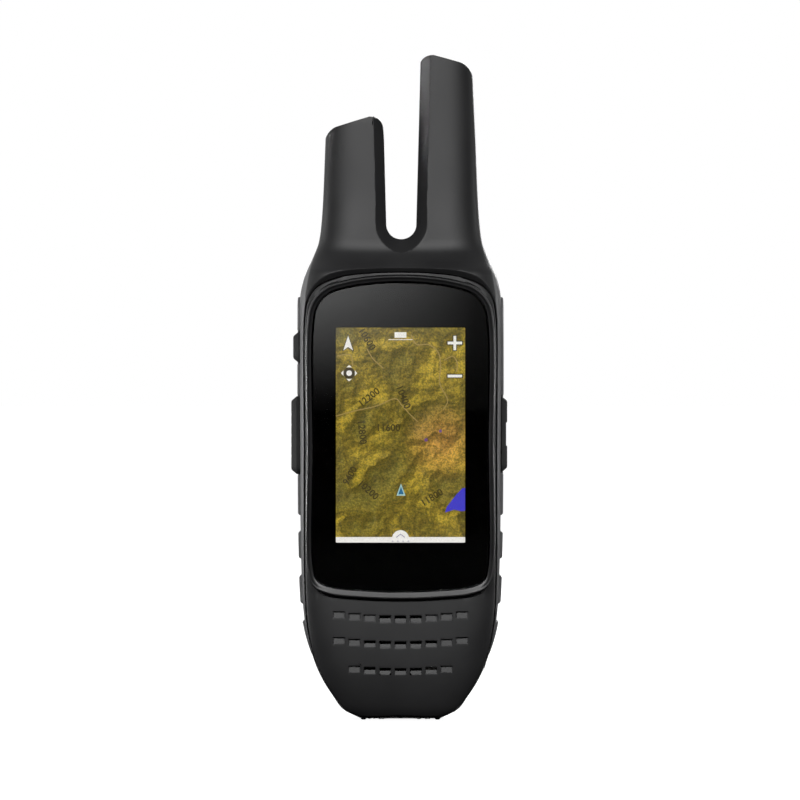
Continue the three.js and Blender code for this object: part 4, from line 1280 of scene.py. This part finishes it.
def backlitAcrylic():  # floor of a photographer's light table: an even, nearly white glow
    settings = {"Roughness": 0.7, "Base Color": linear("#8a8a8a")}
    made, tree, shader, _ = startMaterial("backlitAcrylic", settings)
    glow = addNode(tree, "Emission", {"Color": (1, 1, 1, 1), "Strength": 0.93})
    seen = addNode(tree, "LightPath")
    both = addNode(tree, "AddShader", links={0: shader, 1: glow})
    dark = addNode(tree, "BsdfDiffuse", {"Color": linear("#141414")})
    choice = addNode(tree, "MixShader", links={0: seen.outputs["Is Camera Ray"], 1: dark, 2: both})
    tree.links.new(choice.outputs[0], nodeOf(tree, "OUTPUT_MATERIAL").inputs["Surface"])
    return made


def makeFloor():
    bm = bmesh.new()
    bmesh.ops.create_circle(bm, cap_ends=True, segments=96, radius=60)
    mesh = bpy.data.meshes.new("floor")
    bm.to_mesh(mesh)
    bm.free()
    floor = bpy.data.objects.new("floor", mesh)
    floor.data.materials.append(backlitAcrylic())
    scene.collection.objects.link(floor)


def areaLight(name, place, size, power, aim, fan=180):
    data = bpy.data.lights.new(name, "AREA")
    data.shape = "RECTANGLE"
    data.size, data.size_y = size
    data.energy = power
    data.spread = math.radians(fan)
    lamp = bpy.data.objects.new(name, data)
    lamp.location = place
    lamp.rotation_euler = (Vector(aim) - Vector(place)).to_track_quat("-Z", "Y").to_euler()
    scene.collection.objects.link(lamp)


def gradedSilk():  # diffusing silk of a softbox, brightest at its upper left corner
    made, tree, shader, place = startMaterial("gradedSilk", {"Base Color": (0, 0, 0, 1)})
    parts = addNode(tree, "SeparateXYZ", links={0: place})
    rise = addNode(tree, "MapRange", {"From Min": 0.095, "From Max": 0.2, "To Min": 0.0, "To Max": 1.0},
                   {"Value": parts.outputs["Z"]})
    fade = addNode(tree, "MapRange", {"From Min": -0.07, "From Max": 0.065, "To Min": 1.0, "To Max": 0.06},
                   {"Value": parts.outputs["X"]})
    curve = addNode(tree, "Math", {"operation": "POWER", 1: 1.5}, {0: rise})
    glow = addNode(tree, "Math", {"operation": "MULTIPLY"}, {0: curve, 1: fade})
    power = addNode(tree, "Math", {"operation": "MULTIPLY", 1: 1.3}, {0: glow})
    tree.links.new(power.outputs[0], shader.inputs["Emission Strength"])
    shader.inputs["Emission Color"].default_value = (1, 1, 1, 1)
    return made


def makeSilk():  # a small softbox behind and to the left of the camera, which the glass mirrors
    bm = block(-140, 110, -2204, -2200, 90, 330)
    bmesh.ops.scale(bm, vec=(toMetres,) * 3, verts=bm.verts)
    silk = asObject(bm, "silk")
    silk.data.materials.append(gradedSilk())
    silk.visible_camera = False


makeFloor()
makeSilk()
lights = [
    ("keyLeft", (-0.42, -1.5, 0.66), (0.3, 0.4), 9.8, (0, 0, 0.14)),
    ("keyRight", (0.42, -1.5, 0.66), (0.3, 0.4), 8.2, (0, 0, 0.14)),
    ("rimLeft", (-0.9, 0.16, 0.085), (0.4, 0.1), 0.07, (0, 0, 0.083), 12),
    ("rimRight", (0.9, 0.16, 0.085), (0.4, 0.1), 0.034, (0, 0, 0.083), 12),
    ("backFill", (0.3, 1.5, 0.6), (0.6, 0.6), 14.0, (0, 0, 0.1)),
    ("tipLeft", (-0.9, -0.1, 0.2), (0.1, 0.03), 0.0045, (0, 0, 0.203), 4),
]
for row in lights:
    areaLight(*row)

studio = {"front": 0.02, "behind": 1.0, "top": 0.35, "right": 0.6}
world = bpy.data.worlds.new("studio")
world.use_nodes = True
scene.world = world
tree = world.node_tree
tree.nodes.clear()
heading = addNode(tree, "SeparateXYZ", links={0: addNode(tree, "TexCoord").outputs["Generated"]})
fromBehind = addNode(tree, "MapRange", {"interpolation_type": "SMOOTHSTEP", "From Min": -0.45,
                                        "From Max": 0.25,
                                    "To Min": studio["front"], "To Max": studio["behind"]},
                                    {"Value": heading.outputs["Y"]})
above = addNode(tree, "MapRange", {"From Min": 0.15, "From Max": 0.7, "To Min": 1.0, "To Max": studio["top"]},
                {"Value": heading.outputs["Z"]})
across = addNode(tree, "MapRange", {"From Min": -0.3, "From Max": 0.6, "To Min": 1.0,
                                    "To Max": studio["right"]},
                 {"Value": heading.outputs["X"]})
dimmed = addNode(tree, "Math", {"operation": "MULTIPLY"}, {0: fromBehind, 1: above})
leaning = addNode(tree, "Math", {"operation": "MULTIPLY"}, {0: dimmed, 1: across})
around = addNode(tree, "Background", links={"Strength": leaning})
backdrop = addNode(tree, "Background", {"Color": (1, 1, 1, 1), "Strength": 1.0})
seen = addNode(tree, "LightPath")
pick = addNode(tree, "MixShader", links={0: seen.outputs["Is Camera Ray"], 1: around, 2: backdrop})
addNode(tree, "OutputWorld", links={"Surface": pick})
print("stage ready")
